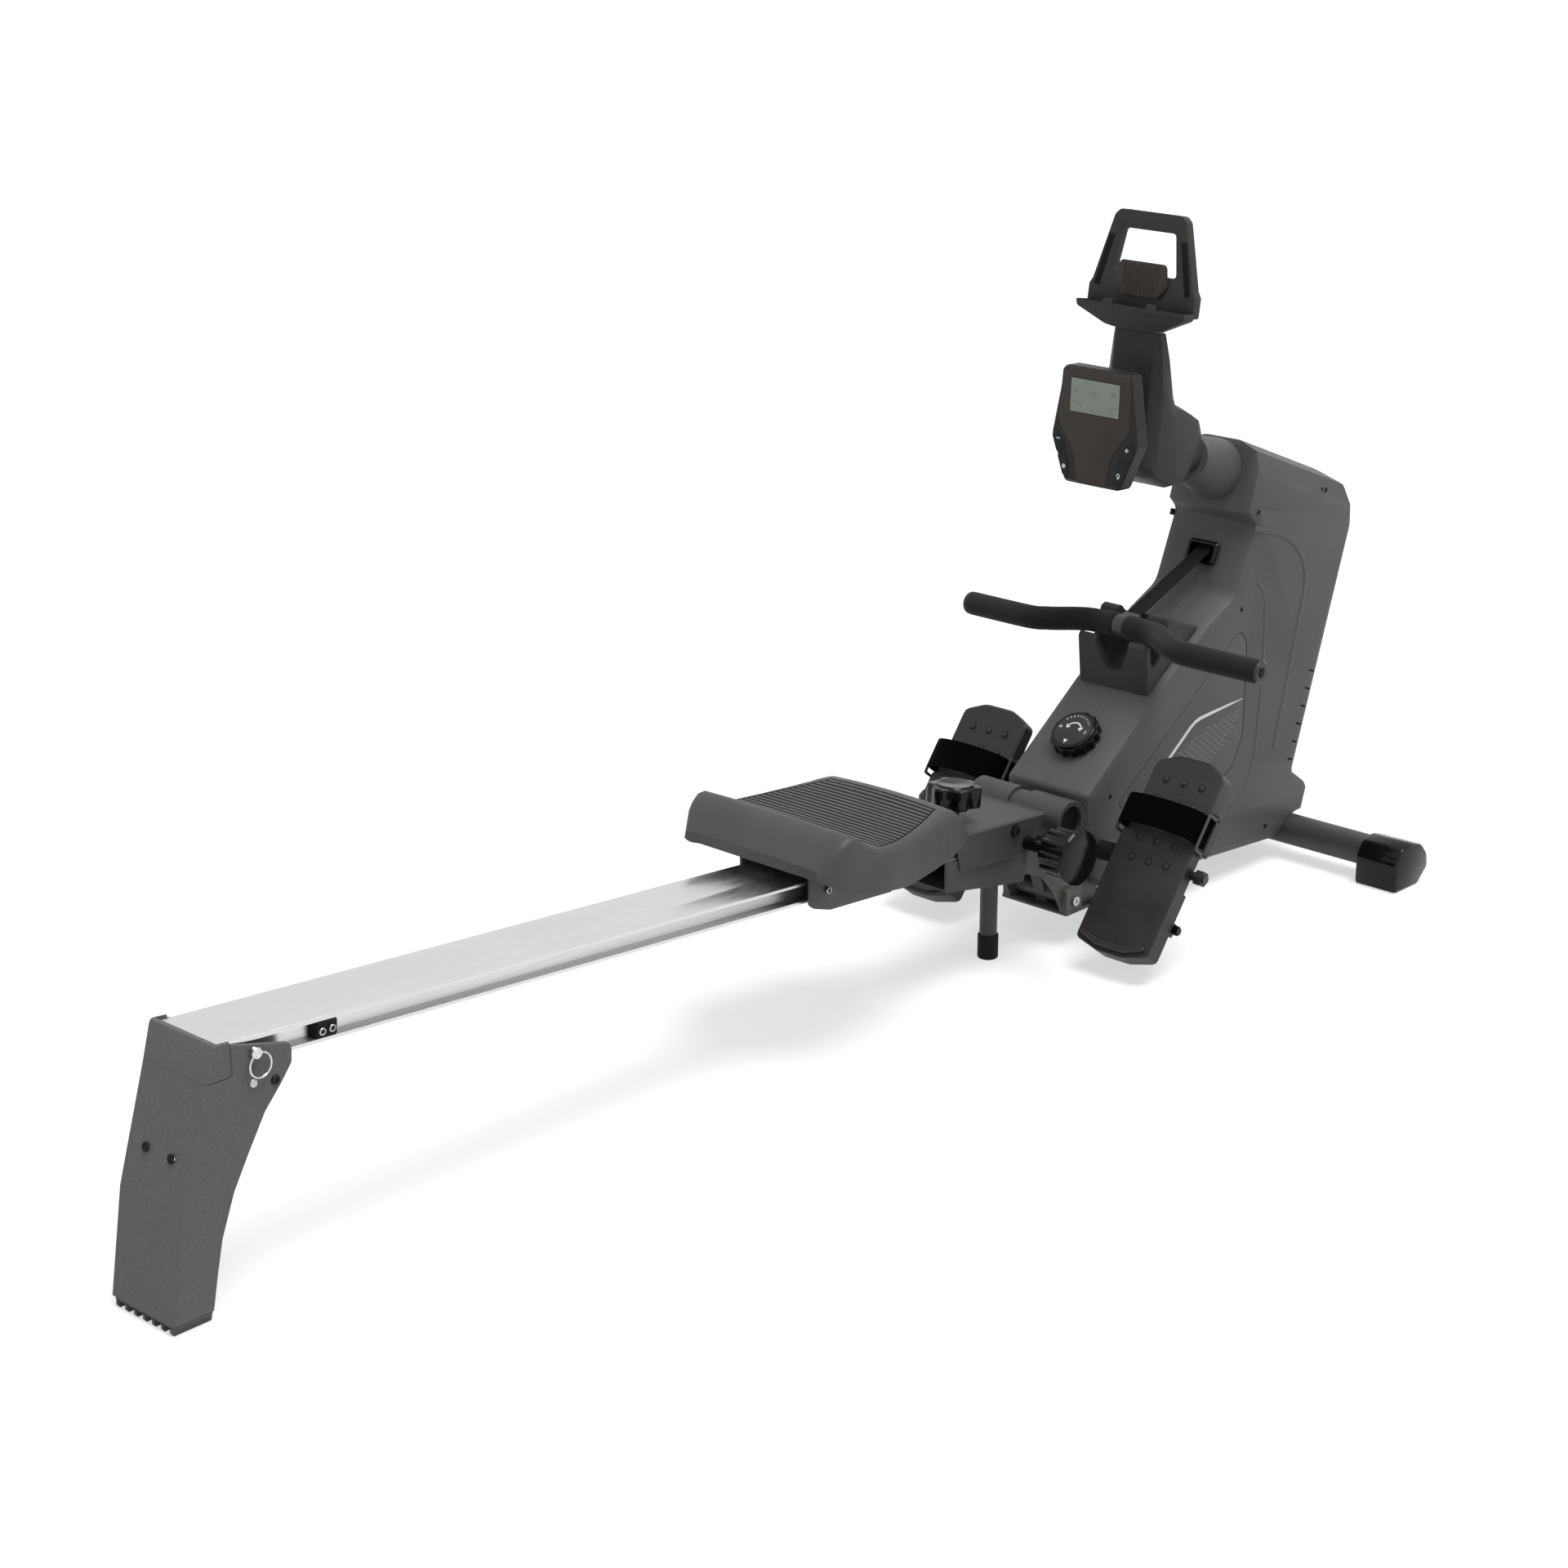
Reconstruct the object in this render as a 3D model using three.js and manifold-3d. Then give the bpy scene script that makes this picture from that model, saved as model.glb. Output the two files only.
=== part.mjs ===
// A folding magnetic rowing machine, as a three.js scene graph.
// Millimetres, +Z up, floor at z = 0. +X runs along the rail from the rear foot to the flywheel housing,
// +Y is the rower's left. Every mesh is one closed solid with the name of its sub-part.
import * as THREE from "three";
import { mergeVertices } from "three/addons/utils/BufferGeometryUtils.js";
import Module from "manifold-3d";

const wasm = await Module();
wasm.setup();

// ---------------------------------------------------------------- driving dimensions
const GAP = 0.3; // between two pieces that seat on each other
const RUNNING = 0.4; // between two pieces that slide or turn on each other
const FAR = 400; // longer than anything that a cut has to pass through

// Rail: an aluminium extrusion that falls towards the housing.
const RAIL_SLOPE = 4.37; // degrees
const RAIL_TOP_AT_ORIGIN = 219.4;
const RAIL_REAR = -988;
const RAIL_FRONT = 225;
const RAIL_HALF_WIDTH = 48.3;
const RAIL_HEIGHT = 28;
const RAIL_WALL = 4;
const GROOVE_TOP = 4.5; // below the top face
const GROOVE_HEIGHT = 19;
const GROOVE_DEPTH = 15.3;

// Fold: the cross tube turns on the hinge rod (rail coordinates along u and above w the top face).
const FOLD_U = 352;
const FOLD_W = -7;
const CROSS_TUBE_RADIUS = 24.5;
const CROSS_TUBE_WALL = 3;
const CROSS_TUBE_HALF_LENGTH = 75.5;
const HINGE_ROD_RADIUS = 7;
const FOLD_RANGE = 85.6; // degrees
const NECK_HALF_WIDTH = 9;

// Rail bracket: a folded plate over the front end of the rail, welded to the cross tube.
const BRACKET_REAR = 154;
const BRACKET_PLATE = 5;
const BRACKET_SIDE = 3.4;
const BRACKET_DROP = 44;
const CLAMP_KNOB_U = 203;
const CLAMP_KNOB_RADIUS = 35;
const LOCK_KNOB_U = 291;
const LOCK_KNOB_W = -28.3;
const LOCK_KNOB_RADIUS = 32;
const LOCK_PIN_RADIUS = 5;

// Front channel, post and floor contacts.
const CHANNEL_WALL = 3.4;
const POST_X = 280;
const POST_RADIUS = 11.5;
const POST_FOOT_RADIUS = 13.6;
const POST_FOOT_HEIGHT = 32;
const FRAME_FRONT_X = 380;
const CROSS_PIN_X = 392;
const CROSS_PIN_Z = 60;

// Stabiliser.
const STABILISER_X = 866;
const STABILISER_Z = 39.2;
const STABILISER_RADIUS = 22;
const STABILISER_HALF_WIDTH = 265;
const STABILISER_CAP = 65.6;

// Housing: two moulded halves that meet at y = 0.
const HOUSING_HALF_WIDTH = 70;
const HOUSING_ROUND = 15;
const HOUSING_WALL = 3.5;
const BEAM_HALF_WIDTH = 20;
const BEAM_HEIGHT = 36;

// Mast: a post that leans back over the housing, placed from a point inside the housing's head.
const MAST_ROOT_X = 790;
const MAST_ROOT_Z = 563;
const MAST_TILT = 7; // degrees
const MAST_FRONT = -263; // the post's front face, from the root

// Mast tube: falls from the mast's block into the housing's head.
const TUBE_ROOT_X = 790;
const TUBE_ROOT_Z = 549.7;
const TUBE_FALL = 22; // degrees
const TUBE_RADIUS = 20;
const TUBE_START = -260; // along the tube from the root
const TUBE_END = 22;

// Drive train.
const FLYWHEEL_X = 745;
const FLYWHEEL_Z = 255;
const FLYWHEEL_RADIUS = 125;
const SPOOL_X = 820;
const SPOOL_RADIUS = 43;
const SPOOL_PULLEY_RADIUS = 60;
const FLYWHEEL_PULLEY_RADIUS = 20;
const AXLE_RADIUS = 8;
const BELT_WIDTH = 24;
const BELT_THICKNESS = 2;

// Handle.
const HANDLE_X = 546;
const HANDLE_Z = 392;
const HANDLE_HALF_LENGTH = 240.5;
const GRIP_RADIUS = 15.8;
const BAR_RADIUS = 11;
const CLAMP_HALF_WIDTH = 14.7;
const BELT_RISE = 21.2; // degrees, from the handle to the housing
const rise = THREE.MathUtils.degToRad(BELT_RISE);
const beltLine = (x) => HANDLE_Z + (x - HANDLE_X) * Math.tan(rise);
const SPOOL_Z = beltLine(SPOOL_X) - (SPOOL_RADIUS + BELT_THICKNESS / 2 + GAP) / Math.cos(rise);

// Pedals.
const PEDAL_X = 423;
const PEDAL_Z = 128;
const PEDAL_TILT = 52.6; // degrees from the horizontal
const PEDAL_CENTRE_Y = 162.5;
const PEDAL_HALF_WIDTH = 57.5;
const PEDAL_AXLE_RADIUS = 6;
const TOE_TOP = 21; // height of the toe plate's face above the axle
const HEEL_FLOOR = 3;

// Seat and its carriage (rail coordinates).
const SEAT_REAR = -168;
const SEAT_FRONT = 112;
const CARRIAGE_REAR = -126;
const CARRIAGE_FRONT = 24;
const CARRIAGE_PLATE = 3.2;
const ROLLER_REAR_U = -90;
const ROLLER_FRONT_U = -12;
const ROLLER_RADIUS = 9.1;

// Rear foot.
const FOOT_HALF_WIDTH = 52.8;
const FOOT_WALL = 3.2;
const FOOT_PIVOT_X = -920;
const FOOT_PIVOT_Z = 238;
const FOOT_PIN_X = -947;
const FOOT_PIN_Z = 277;

// ---------------------------------------------------------------- materials
const paint = (color, roughness, metalness = 0) =>
  new THREE.MeshStandardMaterial({ color, roughness, metalness });
const SHELL = paint(0x4c4b4a, 0.62);
const DARK_PLASTIC = paint(0x35312d, 0.5);
const SEAT_PLASTIC = paint(0x4a4744, 0.55);
const FOOT_PLASTIC = paint(0x565656, 0.75);
const FRAME_PAINT = paint(0x6b6a69, 0.5, 0.3);
const LIGHT_PAINT = paint(0x8d8c8a, 0.45, 0.4);
const ALUMINIUM = paint(0xc9c9ca, 0.3, 0.9);
const STEEL = paint(0xb4b4b4, 0.25, 1);
const CAST_IRON = paint(0x5a5a5a, 0.6, 0.8);
const RUBBER = paint(0x1d1d1c, 0.85);
const FOAM = paint(0x2b2b2a, 0.95);
const GLOSS_BLACK = paint(0x141414, 0.2);
const WEBBING = paint(0x101010, 0.8);
const LCD = paint(0x7f8a7f, 0.25);

// ---------------------------------------------------------------- solids
// A closed geometry as a solid, so that it can be joined and cut.
function solidOf(geometry) {
  const bare = geometry.clone();
  bare.deleteAttribute("normal");
  bare.deleteAttribute("uv");
  const merged = mergeVertices(bare, 1e-4);
  return new wasm.Manifold(
    new wasm.Mesh({
      numProp: 3,
      vertProperties: new Float32Array(merged.attributes.position.array),
      triVerts: new Uint32Array(merged.index.array),
    }),
  );
}

function geometryOf(solid) {
  const mesh = solid.getMesh();
  const geometry = new THREE.BufferGeometry();
  geometry.setAttribute("position", new THREE.BufferAttribute(mesh.vertProperties, 3));
  geometry.setIndex(new THREE.BufferAttribute(mesh.triVerts, 1));
  return geometry;
}

const isGeometry = (thing) => thing.isBufferGeometry === true;
const asSolid = (thing) => (isGeometry(thing) ? solidOf(thing) : thing);
const join = (...things) => things.map(asSolid).reduce((a, b) => a.add(b));
const cut = (body, ...things) => things.map(asSolid).reduce((a, b) => a.subtract(b), asSolid(body));
const common = (a, b) => asSolid(a).intersect(asSolid(b));

// A named mesh with flat facets, added to its group.
function piece(name, thing, material, parent) {
  const geometry = (isGeometry(thing) ? thing : geometryOf(thing)).clone();
  const flat = geometry.index ? geometry.toNonIndexed() : geometry;
  flat.computeVertexNormals();
  const mesh = new THREE.Mesh(flat, material);
  mesh.name = name;
  parent.add(mesh);
  return mesh;
}

// ---------------------------------------------------------------- outlines
// A closed outline from corners [a, b, radius]; a corner without a radius stays sharp.
function outline(corners) {
  const path = new THREE.Shape();
  const count = corners.length;
  const area = THREE.ShapeUtils.area(corners.map(([a, b]) => new THREE.Vector2(a, b)));
  const points = area > 0 ? corners : [...corners].reverse();
  points.forEach(([a, b, radius = 0], i) => {
    const here = new THREE.Vector2(a, b);
    const before = new THREE.Vector2(...points[(i + count - 1) % count].slice(0, 2)).sub(here);
    const after = new THREE.Vector2(...points[(i + 1) % count].slice(0, 2)).sub(here);
    if (radius === 0) {
      i === 0 ? path.moveTo(a, b) : path.lineTo(a, b);
      return;
    }
    const half = Math.acos(before.clone().normalize().dot(after.clone().normalize())) / 2;
    const reach = Math.min(radius / Math.tan(half), before.length() * 0.49, after.length() * 0.49);
    const start = here.clone().addScaledVector(before.normalize(), reach);
    const end = here.clone().addScaledVector(after.normalize(), reach);
    i === 0 ? path.moveTo(start.x, start.y) : path.lineTo(start.x, start.y);
    path.quadraticCurveTo(a, b, end.x, end.y);
  });
  path.closePath();
  return path;
}

// The same corners moved inwards by a distance, for a wall of that thickness.
function inset(corners, distance) {
  const area = THREE.ShapeUtils.area(corners.map(([a, b]) => new THREE.Vector2(a, b)));
  const points = area > 0 ? corners : [...corners].reverse();
  const count = points.length;
  return points.map(([a, b, radius = 0], i) => {
    const [pa, pb] = points[(i + count - 1) % count];
    const [na, nb] = points[(i + 1) % count];
    const before = new THREE.Vector2(a - pa, b - pb).normalize();
    const after = new THREE.Vector2(na - a, nb - b).normalize();
    const bisector = new THREE.Vector2(-before.y - after.y, before.x + after.x).normalize();
    const scale = distance / Math.max(bisector.dot(new THREE.Vector2(-before.y, before.x)), 0.3);
    const convex = before.cross(after) > 0;
    const rounding = radius === 0 ? 0 : Math.max(convex ? radius - distance : radius + distance, 0.4);
    return [a + bisector.x * scale, b + bisector.y * scale, rounding];
  });
}

function circle(a, b, radius) {
  const path = new THREE.Path();
  path.absarc(a, b, radius, 0, Math.PI * 2, false);
  return path;
}

// ---------------------------------------------------------------- shapes in space
const AXES = {
  x: new THREE.Matrix4().makeBasis(
    new THREE.Vector3(0, 1, 0),
    new THREE.Vector3(0, 0, 1),
    new THREE.Vector3(1, 0, 0),
  ),
  y: new THREE.Matrix4().makeBasis(
    new THREE.Vector3(1, 0, 0),
    new THREE.Vector3(0, 0, 1),
    new THREE.Vector3(0, -1, 0),
  ),
  z: new THREE.Matrix4(),
};

// An outline pushed along an axis from one place to another.
// Outlines are drawn in (y, z) along x, in (x, z) along y and in (x, y) along z.
function prism(axis, shape, from, to, { arcs = 2 } = {}) {
  const geometry = new THREE.ExtrudeGeometry(shape, {
    depth: to - from,
    bevelEnabled: false,
    curveSegments: arcs,
  });
  geometry.translate(0, 0, axis === "y" ? -to : from);
  return geometry.applyMatrix4(AXES[axis]);
}

const block = (x0, x1, y0, y1, z0, z1) =>
  new THREE.BoxGeometry(x1 - x0, y1 - y0, z1 - z0).translate((x0 + x1) / 2, (y0 + y1) / 2, (z0 + z1) / 2);

// A round bar between two points.
function bar(from, to, radius, sides = 16, endRadius = radius) {
  const a = new THREE.Vector3(...from);
  const b = new THREE.Vector3(...to);
  const turn = new THREE.Quaternion().setFromUnitVectors(
    new THREE.Vector3(0, 1, 0),
    b.clone().sub(a).normalize(),
  );
  return new THREE.CylinderGeometry(endRadius, radius, a.distanceTo(b), sides)
    .applyQuaternion(turn)
    .translate((a.x + b.x) / 2, (a.y + b.y) / 2, (a.z + b.z) / 2);
}

// A bar along y at one place in side view.
const crossBar = (x, z, y0, y1, radius, sides = 16) => bar([x, y0, z], [x, y1, z], radius, sides);

// A turned solid: [radius, height] pairs from axis to axis, standing on a point along a direction.
function turned(profile, base, direction, sides = 24) {
  const points = profile.map(([radius, height]) => new THREE.Vector2(radius, height));
  const up = new THREE.Vector3(...direction).normalize();
  const turn = new THREE.Quaternion().setFromUnitVectors(new THREE.Vector3(0, 1, 0), up);
  return new THREE.LatheGeometry(points, sides).applyQuaternion(turn).translate(...base);
}

// Corners of a rounded outline as plain points; a corner always gives the same number of points.
const CORNER_STEPS = 2;
function ringOf(corners) {
  const count = corners.length;
  return corners.flatMap(([a, b, radius = 0], i) => {
    if (radius === 0) return [[a, b]];
    const here = new THREE.Vector2(a, b);
    const before = new THREE.Vector2(...corners[(i + count - 1) % count].slice(0, 2)).sub(here);
    const after = new THREE.Vector2(...corners[(i + 1) % count].slice(0, 2)).sub(here);
    const half = Math.acos(before.clone().normalize().dot(after.clone().normalize())) / 2;
    const reach = Math.min(radius / Math.tan(half), before.length() * 0.48, after.length() * 0.48);
    const start = here.clone().addScaledVector(before.normalize(), reach);
    const end = here.clone().addScaledVector(after.normalize(), reach);
    const curve = new THREE.QuadraticBezierCurve(start, here, end);
    return curve.getPoints(CORNER_STEPS).map((point) => [point.x, point.y]);
  });
}

// A slab between two levels whose rims are rounded by a radius: one rim, the other or both.
function slab(axis, corners, from, to, round, { steps = 1, low = true, high = true } = {}) {
  const area = THREE.ShapeUtils.area(corners.map(([a, b]) => new THREE.Vector2(a, b)));
  const points = area > 0 ? corners : [...corners].reverse();
  const [start, end] = axis === "y" ? [-to, -from] : [from, to];
  const [roundStart, roundEnd] = axis === "y" ? [high, low] : [low, high];
  const levels = [];
  const arc = (k) => (k / steps) * (Math.PI / 2);
  for (let k = 0; k <= steps && roundStart; k++) {
    levels.push([round * (1 - Math.sin(arc(k))), start + round * (1 - Math.cos(arc(k)))]);
  }
  if (!roundStart) levels.push([0, start]);
  for (let k = steps; k >= 0 && roundEnd; k--) {
    levels.push([round * (1 - Math.sin(arc(k))), end - round * (1 - Math.cos(arc(k)))]);
  }
  if (!roundEnd) levels.push([0, end]);
  const rings = levels.map(([depth, level]) => {
    const ring = ringOf(depth > 0 ? inset(points, depth) : points);
    return ring.map(([a, b]) => [a, b, level]);
  });
  return closedSkin(rings).applyMatrix4(AXES[axis]);
}

// A skin over rings of equally many points with flat triangulated ends.
function closedSkin(rings) {
  const count = rings[0].length;
  const indices = [];
  for (let r = 0; r + 1 < rings.length; r++) {
    for (let i = 0; i < count; i++) {
      const a = r * count + i;
      const b = r * count + ((i + 1) % count);
      indices.push(a, b, a + count, b, b + count, a + count);
    }
  }
  const flat = (ring) => ring.map(([a, b]) => new THREE.Vector2(a, b));
  const turnOf = (ring, [i, j, k]) => THREE.ShapeUtils.area([ring[i], ring[j], ring[k]]);
  const lowRing = flat(rings[0]);
  for (const face of THREE.ShapeUtils.triangulateShape(lowRing, [])) {
    indices.push(...(turnOf(lowRing, face) < 0 ? face : [...face].reverse()));
  }
  const highRing = flat(rings[rings.length - 1]);
  const offset = (rings.length - 1) * count;
  for (const face of THREE.ShapeUtils.triangulateShape(highRing, [])) {
    const turn = turnOf(highRing, face) > 0 ? face : [...face].reverse();
    indices.push(...turn.map((i) => i + offset));
  }
  const geometry = new THREE.BufferGeometry();
  geometry.setAttribute("position", new THREE.Float32BufferAttribute(rings.flat(2), 3));
  geometry.setIndex(indices);
  return geometry;
}

// A skin over rings of equally many points, closed by a fan at both ends.
function loft(rings) {
  const count = rings[0].length;
  const positions = rings.flat(2);
  const indices = [];
  for (let r = 0; r + 1 < rings.length; r++) {
    for (let i = 0; i < count; i++) {
      const a = r * count + i;
      const b = r * count + ((i + 1) % count);
      indices.push(a, b, a + count, b, b + count, a + count);
    }
  }
  const ends = [rings[0], rings[rings.length - 1]].map((ring) =>
    [0, 1, 2].map((k) => ring.reduce((sum, point) => sum + point[k], 0) / count),
  );
  const first = positions.length / 3;
  positions.push(...ends[0], ...ends[1]);
  const last = (rings.length - 1) * count;
  for (let i = 0; i < count; i++) {
    indices.push(first, (i + 1) % count, i, first + 1, last + i, last + ((i + 1) % count));
  }
  const geometry = new THREE.BufferGeometry();
  geometry.setAttribute("position", new THREE.Float32BufferAttribute(positions, 3));
  geometry.setIndex(indices);
  return geometry;
}

// ---------------------------------------------------------------- frames of reference
const machine = new THREE.Group();

const railFrame = new THREE.Group();
railFrame.position.set(0, 0, RAIL_TOP_AT_ORIGIN);
railFrame.rotation.y = THREE.MathUtils.degToRad(RAIL_SLOPE);
machine.add(railFrame);

const mastFrame = new THREE.Group();
mastFrame.position.set(MAST_ROOT_X, 0, MAST_ROOT_Z);
mastFrame.rotation.y = THREE.MathUtils.degToRad(MAST_TILT);
machine.add(mastFrame);

const tubeFrame = new THREE.Group();
tubeFrame.position.set(TUBE_ROOT_X, 0, TUBE_ROOT_Z);
tubeFrame.rotation.y = THREE.MathUtils.degToRad(TUBE_FALL);
machine.add(tubeFrame);

// A point of a tilted frame in the machine's frame, and back.
function toMachine(frame, [x, y, z]) {
  frame.updateMatrix();
  return new THREE.Vector3(x, y, z).applyMatrix4(frame.matrix).toArray();
}
function fromMachine(frame, [x, y, z]) {
  frame.updateMatrix();
  return new THREE.Vector3(x, y, z).applyMatrix4(frame.matrix.clone().invert()).toArray();
}

// Turns a shape about the y axis by degrees and moves it to a place in side view.
function placed(geometry, x, z, degrees) {
  return geometry.rotateY(THREE.MathUtils.degToRad(degrees)).translate(x, 0, z);
}

// ---------------------------------------------------------------- rail
const slope = THREE.MathUtils.degToRad(RAIL_SLOPE);
const railUnderside = (x) => RAIL_TOP_AT_ORIGIN - Math.tan(slope) * x - RAIL_HEIGHT / Math.cos(slope);
const [foldX, , foldZ] = toMachine(railFrame, [FOLD_U, 0, FOLD_W]);
const [lockX, , lockZ] = toMachine(railFrame, [LOCK_KNOB_U, 0, LOCK_KNOB_W]);
const GROOVE_FLOOR = -GROOVE_TOP - GROOVE_HEIGHT;
const WEB_HALF = RAIL_HALF_WIDTH - GROOVE_DEPTH;
const SCREW_RADIUS = 5;

function rail() {
  const side = [
    [RAIL_HALF_WIDTH, 0, 2],
    [RAIL_HALF_WIDTH, -GROOVE_TOP],
    [WEB_HALF, -GROOVE_TOP],
    [WEB_HALF, GROOVE_FLOOR],
    [RAIL_HALF_WIDTH, GROOVE_FLOOR],
    [RAIL_HALF_WIDTH, -RAIL_HEIGHT, 1.5],
  ];
  const other = side.map(([y, w, radius]) => [-y, w, radius]).reverse();
  const body = prism("x", outline([...side, ...other]), RAIL_REAR, RAIL_FRONT);
  const inside = WEB_HALF - RAIL_WALL;
  const hollow = block(RAIL_REAR - 1, RAIL_FRONT + 1, -inside, inside, GROOVE_FLOOR - 0.5, -RAIL_WALL - 0.5);
  const screwHole = bar([CLAMP_KNOB_U, 0, -20], [CLAMP_KNOB_U, 0, 5], SCREW_RADIUS + RUNNING, 16);
  const [pinU] = fromMachine(railFrame, [FOOT_PIN_X, 0, FOOT_PIN_Z]);
  const slots = [1, -1].map((s) => {
    const [y0, y1] = [s * (WEB_HALF + 0.2), s * (RAIL_HALF_WIDTH + 5)].sort((a, b) => a - b);
    return block(RAIL_REAR - 1, pinU + 22, y0, y1, -RAIL_HEIGHT - 1, GROOVE_FLOOR + 1);
  });
  piece("rail", cut(body, hollow, screwHole, ...slots), ALUMINIUM, railFrame);
}

// A stop in the side groove with the heads of its two screws.
function railStop(name, s) {
  const [rear, front] = [-862, -836];
  const [y0, y1] = [WEB_HALF + GAP, RAIL_HALF_WIDTH + 2];
  const low = GROOVE_FLOOR + GAP;
  const high = -GROOVE_TOP - GAP;
  const stop = slab("y", [[rear, low, 2], [front, low, 2], [front, high, 2], [rear, high, 2]], y0, y1, 1.5, {
    low: false,
  });
  const heads = [rear + 7, front - 7].map((u) => crossBar(u, -14, y1 - 1, y1 + 1.2, 3.2, 12));
  const solid = join(stop, ...heads);
  piece(name, s > 0 ? solid : mirrored(solid), RUBBER, railFrame);
}

// The same solid on the other side of the middle plane.
function mirrored(solid) {
  const geometry = geometryOf(solid).applyMatrix4(new THREE.Matrix4().makeScale(1, -1, 1));
  const index = geometry.index.array;
  for (let i = 0; i < index.length; i += 3) {
    [index[i], index[i + 1]] = [index[i + 1], index[i]];
  }
  return solidOf(geometry);
}
const onSide = (s, solid) => (s > 0 ? asSolid(solid) : mirrored(asSolid(solid)));

// The folded plate over the rail with the cross tube and two cross bolts.
function railBracket() {
  const inner = RAIL_HALF_WIDTH + 1.3;
  const outer = inner + BRACKET_SIDE;
  const end = FOLD_U - 14;
  const flange = [
    [BRACKET_REAR, BRACKET_PLATE + GAP],
    [end, BRACKET_PLATE + GAP],
    [end - 4, -6],
    [LOCK_KNOB_U + 2, -BRACKET_DROP, 8],
    [BRACKET_REAR + 8, -BRACKET_DROP, 10],
    [BRACKET_REAR, -8],
  ];
  const shell = slab("y", flange, -outer, outer, 2);
  const room = block(BRACKET_REAR - 9, end + 30, -inner, inner, -FAR, GAP);
  const tube = crossBar(FOLD_U, FOLD_W, -CROSS_TUBE_HALF_LENGTH, CROSS_TUBE_HALF_LENGTH, CROSS_TUBE_RADIUS, 28);
  const bore = crossBar(FOLD_U, FOLD_W, -FAR, FAR, CROSS_TUBE_RADIUS - CROSS_TUBE_WALL, 28);
  const bolt = crossBar(265, -7.2, -outer - 2.5, outer + 2.5, 3.6, 12);
  const lockHole = crossBar(LOCK_KNOB_U, LOCK_KNOB_W, -FAR, FAR, LOCK_PIN_RADIUS + RUNNING, 20);
  const screwHole = bar([CLAMP_KNOB_U, 0, -20], [CLAMP_KNOB_U, 0, 20], SCREW_RADIUS + RUNNING, 16);
  const window = neckWindow();
  const body = join(cut(shell, room), tube, bolt);
  piece("rail_bracket", cut(body, bore, lockHole, screwHole, window), LIGHT_PAINT, railFrame);
}

// The part of the cross tube that stays open for the neck over the whole fold.
function neckWindow() {
  const reach = CROSS_TUBE_RADIUS + 3;
  const path = new THREE.Shape();
  const [from, to] = [THREE.MathUtils.degToRad(-112), THREE.MathUtils.degToRad(62)];
  path.moveTo(FOLD_U, FOLD_W);
  path.absarc(FOLD_U, FOLD_W, reach, from, to, false);
  path.closePath();
  const half = NECK_HALF_WIDTH + 2;
  return prism("y", path, -half, half, { arcs: 6 });
}

// The rod that the rail folds on, with an end plug in each mouth of the cross tube.
function hingeRod() {
  const mouth = CROSS_TUBE_RADIUS - CROSS_TUBE_WALL - GAP;
  const rod = crossBar(FOLD_U, FOLD_W, -CROSS_TUBE_HALF_LENGTH + 10, CROSS_TUBE_HALF_LENGTH - 10, HINGE_ROD_RADIUS);
  const plugs = [1, -1].map((s) => {
    const [y0, y1] = [s * (CROSS_TUBE_HALF_LENGTH - 16), s * (CROSS_TUBE_HALF_LENGTH - 5)];
    return crossBar(FOLD_U, FOLD_W, Math.min(y0, y1), Math.max(y0, y1), mouth, 28);
  });
  piece("hinge_rod", join(rod, ...plugs), STEEL, railFrame);
}

// A knob outline with rounded lobes.
function lobes(count, radius, depth, steps = 60) {
  const corners = [];
  for (let i = 0; i < steps; i++) {
    const angle = (i / steps) * Math.PI * 2;
    const r = radius - depth * (0.5 - 0.5 * Math.cos(count * angle));
    corners.push([r * Math.cos(angle), r * Math.sin(angle)]);
  }
  return corners;
}

function railClampKnob() {
  const seat = BRACKET_PLATE + 2 * GAP;
  const stem = turned(
    [[0, -10], [SCREW_RADIUS, -10], [SCREW_RADIUS, seat], [13, seat], [13, seat + 3], [8.5, seat + 4], [8.5, 30], [0, 30]],
    [0, 0, 0],
    [0, 0, 1],
    16,
  );
  const cap = slab("z", lobes(6, CLAMP_KNOB_RADIUS, 7, 36), 25, 52, 4);
  const dish = turned([[0, 49.5], [18, 51], [24, 53], [0, 53]], [0, 0, 0], [0, 0, 1], 24);
  const geometry = geometryOf(cut(join(stem, cap), dish)).translate(CLAMP_KNOB_U, 0, 0);
  piece("rail_clamp_knob", geometry, GLOSS_BLACK, railFrame);
}

function hingeLockKnob() {
  const face = RAIL_HALF_WIDTH + 1.3 + BRACKET_SIDE + GAP;
  const rod = crossBar(0, 0, -face - 4, face + 2, LOCK_PIN_RADIUS, 20);
  const nut = crossBar(0, 0, face, face + 6, 8, 6);
  const stem = crossBar(0, 0, -96, -face, 8.5, 20);
  const barrel = slab("y", lobes(12, LOCK_KNOB_RADIUS, 2.5, 36), -137, -95, 2.5);
  const dome = turned([[0, 134], [36, 134], [37, 136.5], [35.5, 139.5], [22, 142], [0, 143]], [0, 0, 0], [0, -1, 0], 28);
  const geometry = geometryOf(join(rod, nut, stem, barrel, dome)).translate(LOCK_KNOB_U, 0, LOCK_KNOB_W);
  piece("hinge_lock_knob", geometry, GLOSS_BLACK, railFrame);
}

// ---------------------------------------------------------------- front channel and main frame
const channelFloor = (x) => 142 - ((x - 134) * 28) / 155;
const CHANNEL_REAR = 135;
const CHANNEL_FRONT = 300;
const CHANNEL_HALF_WIDTH = 49;

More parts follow.
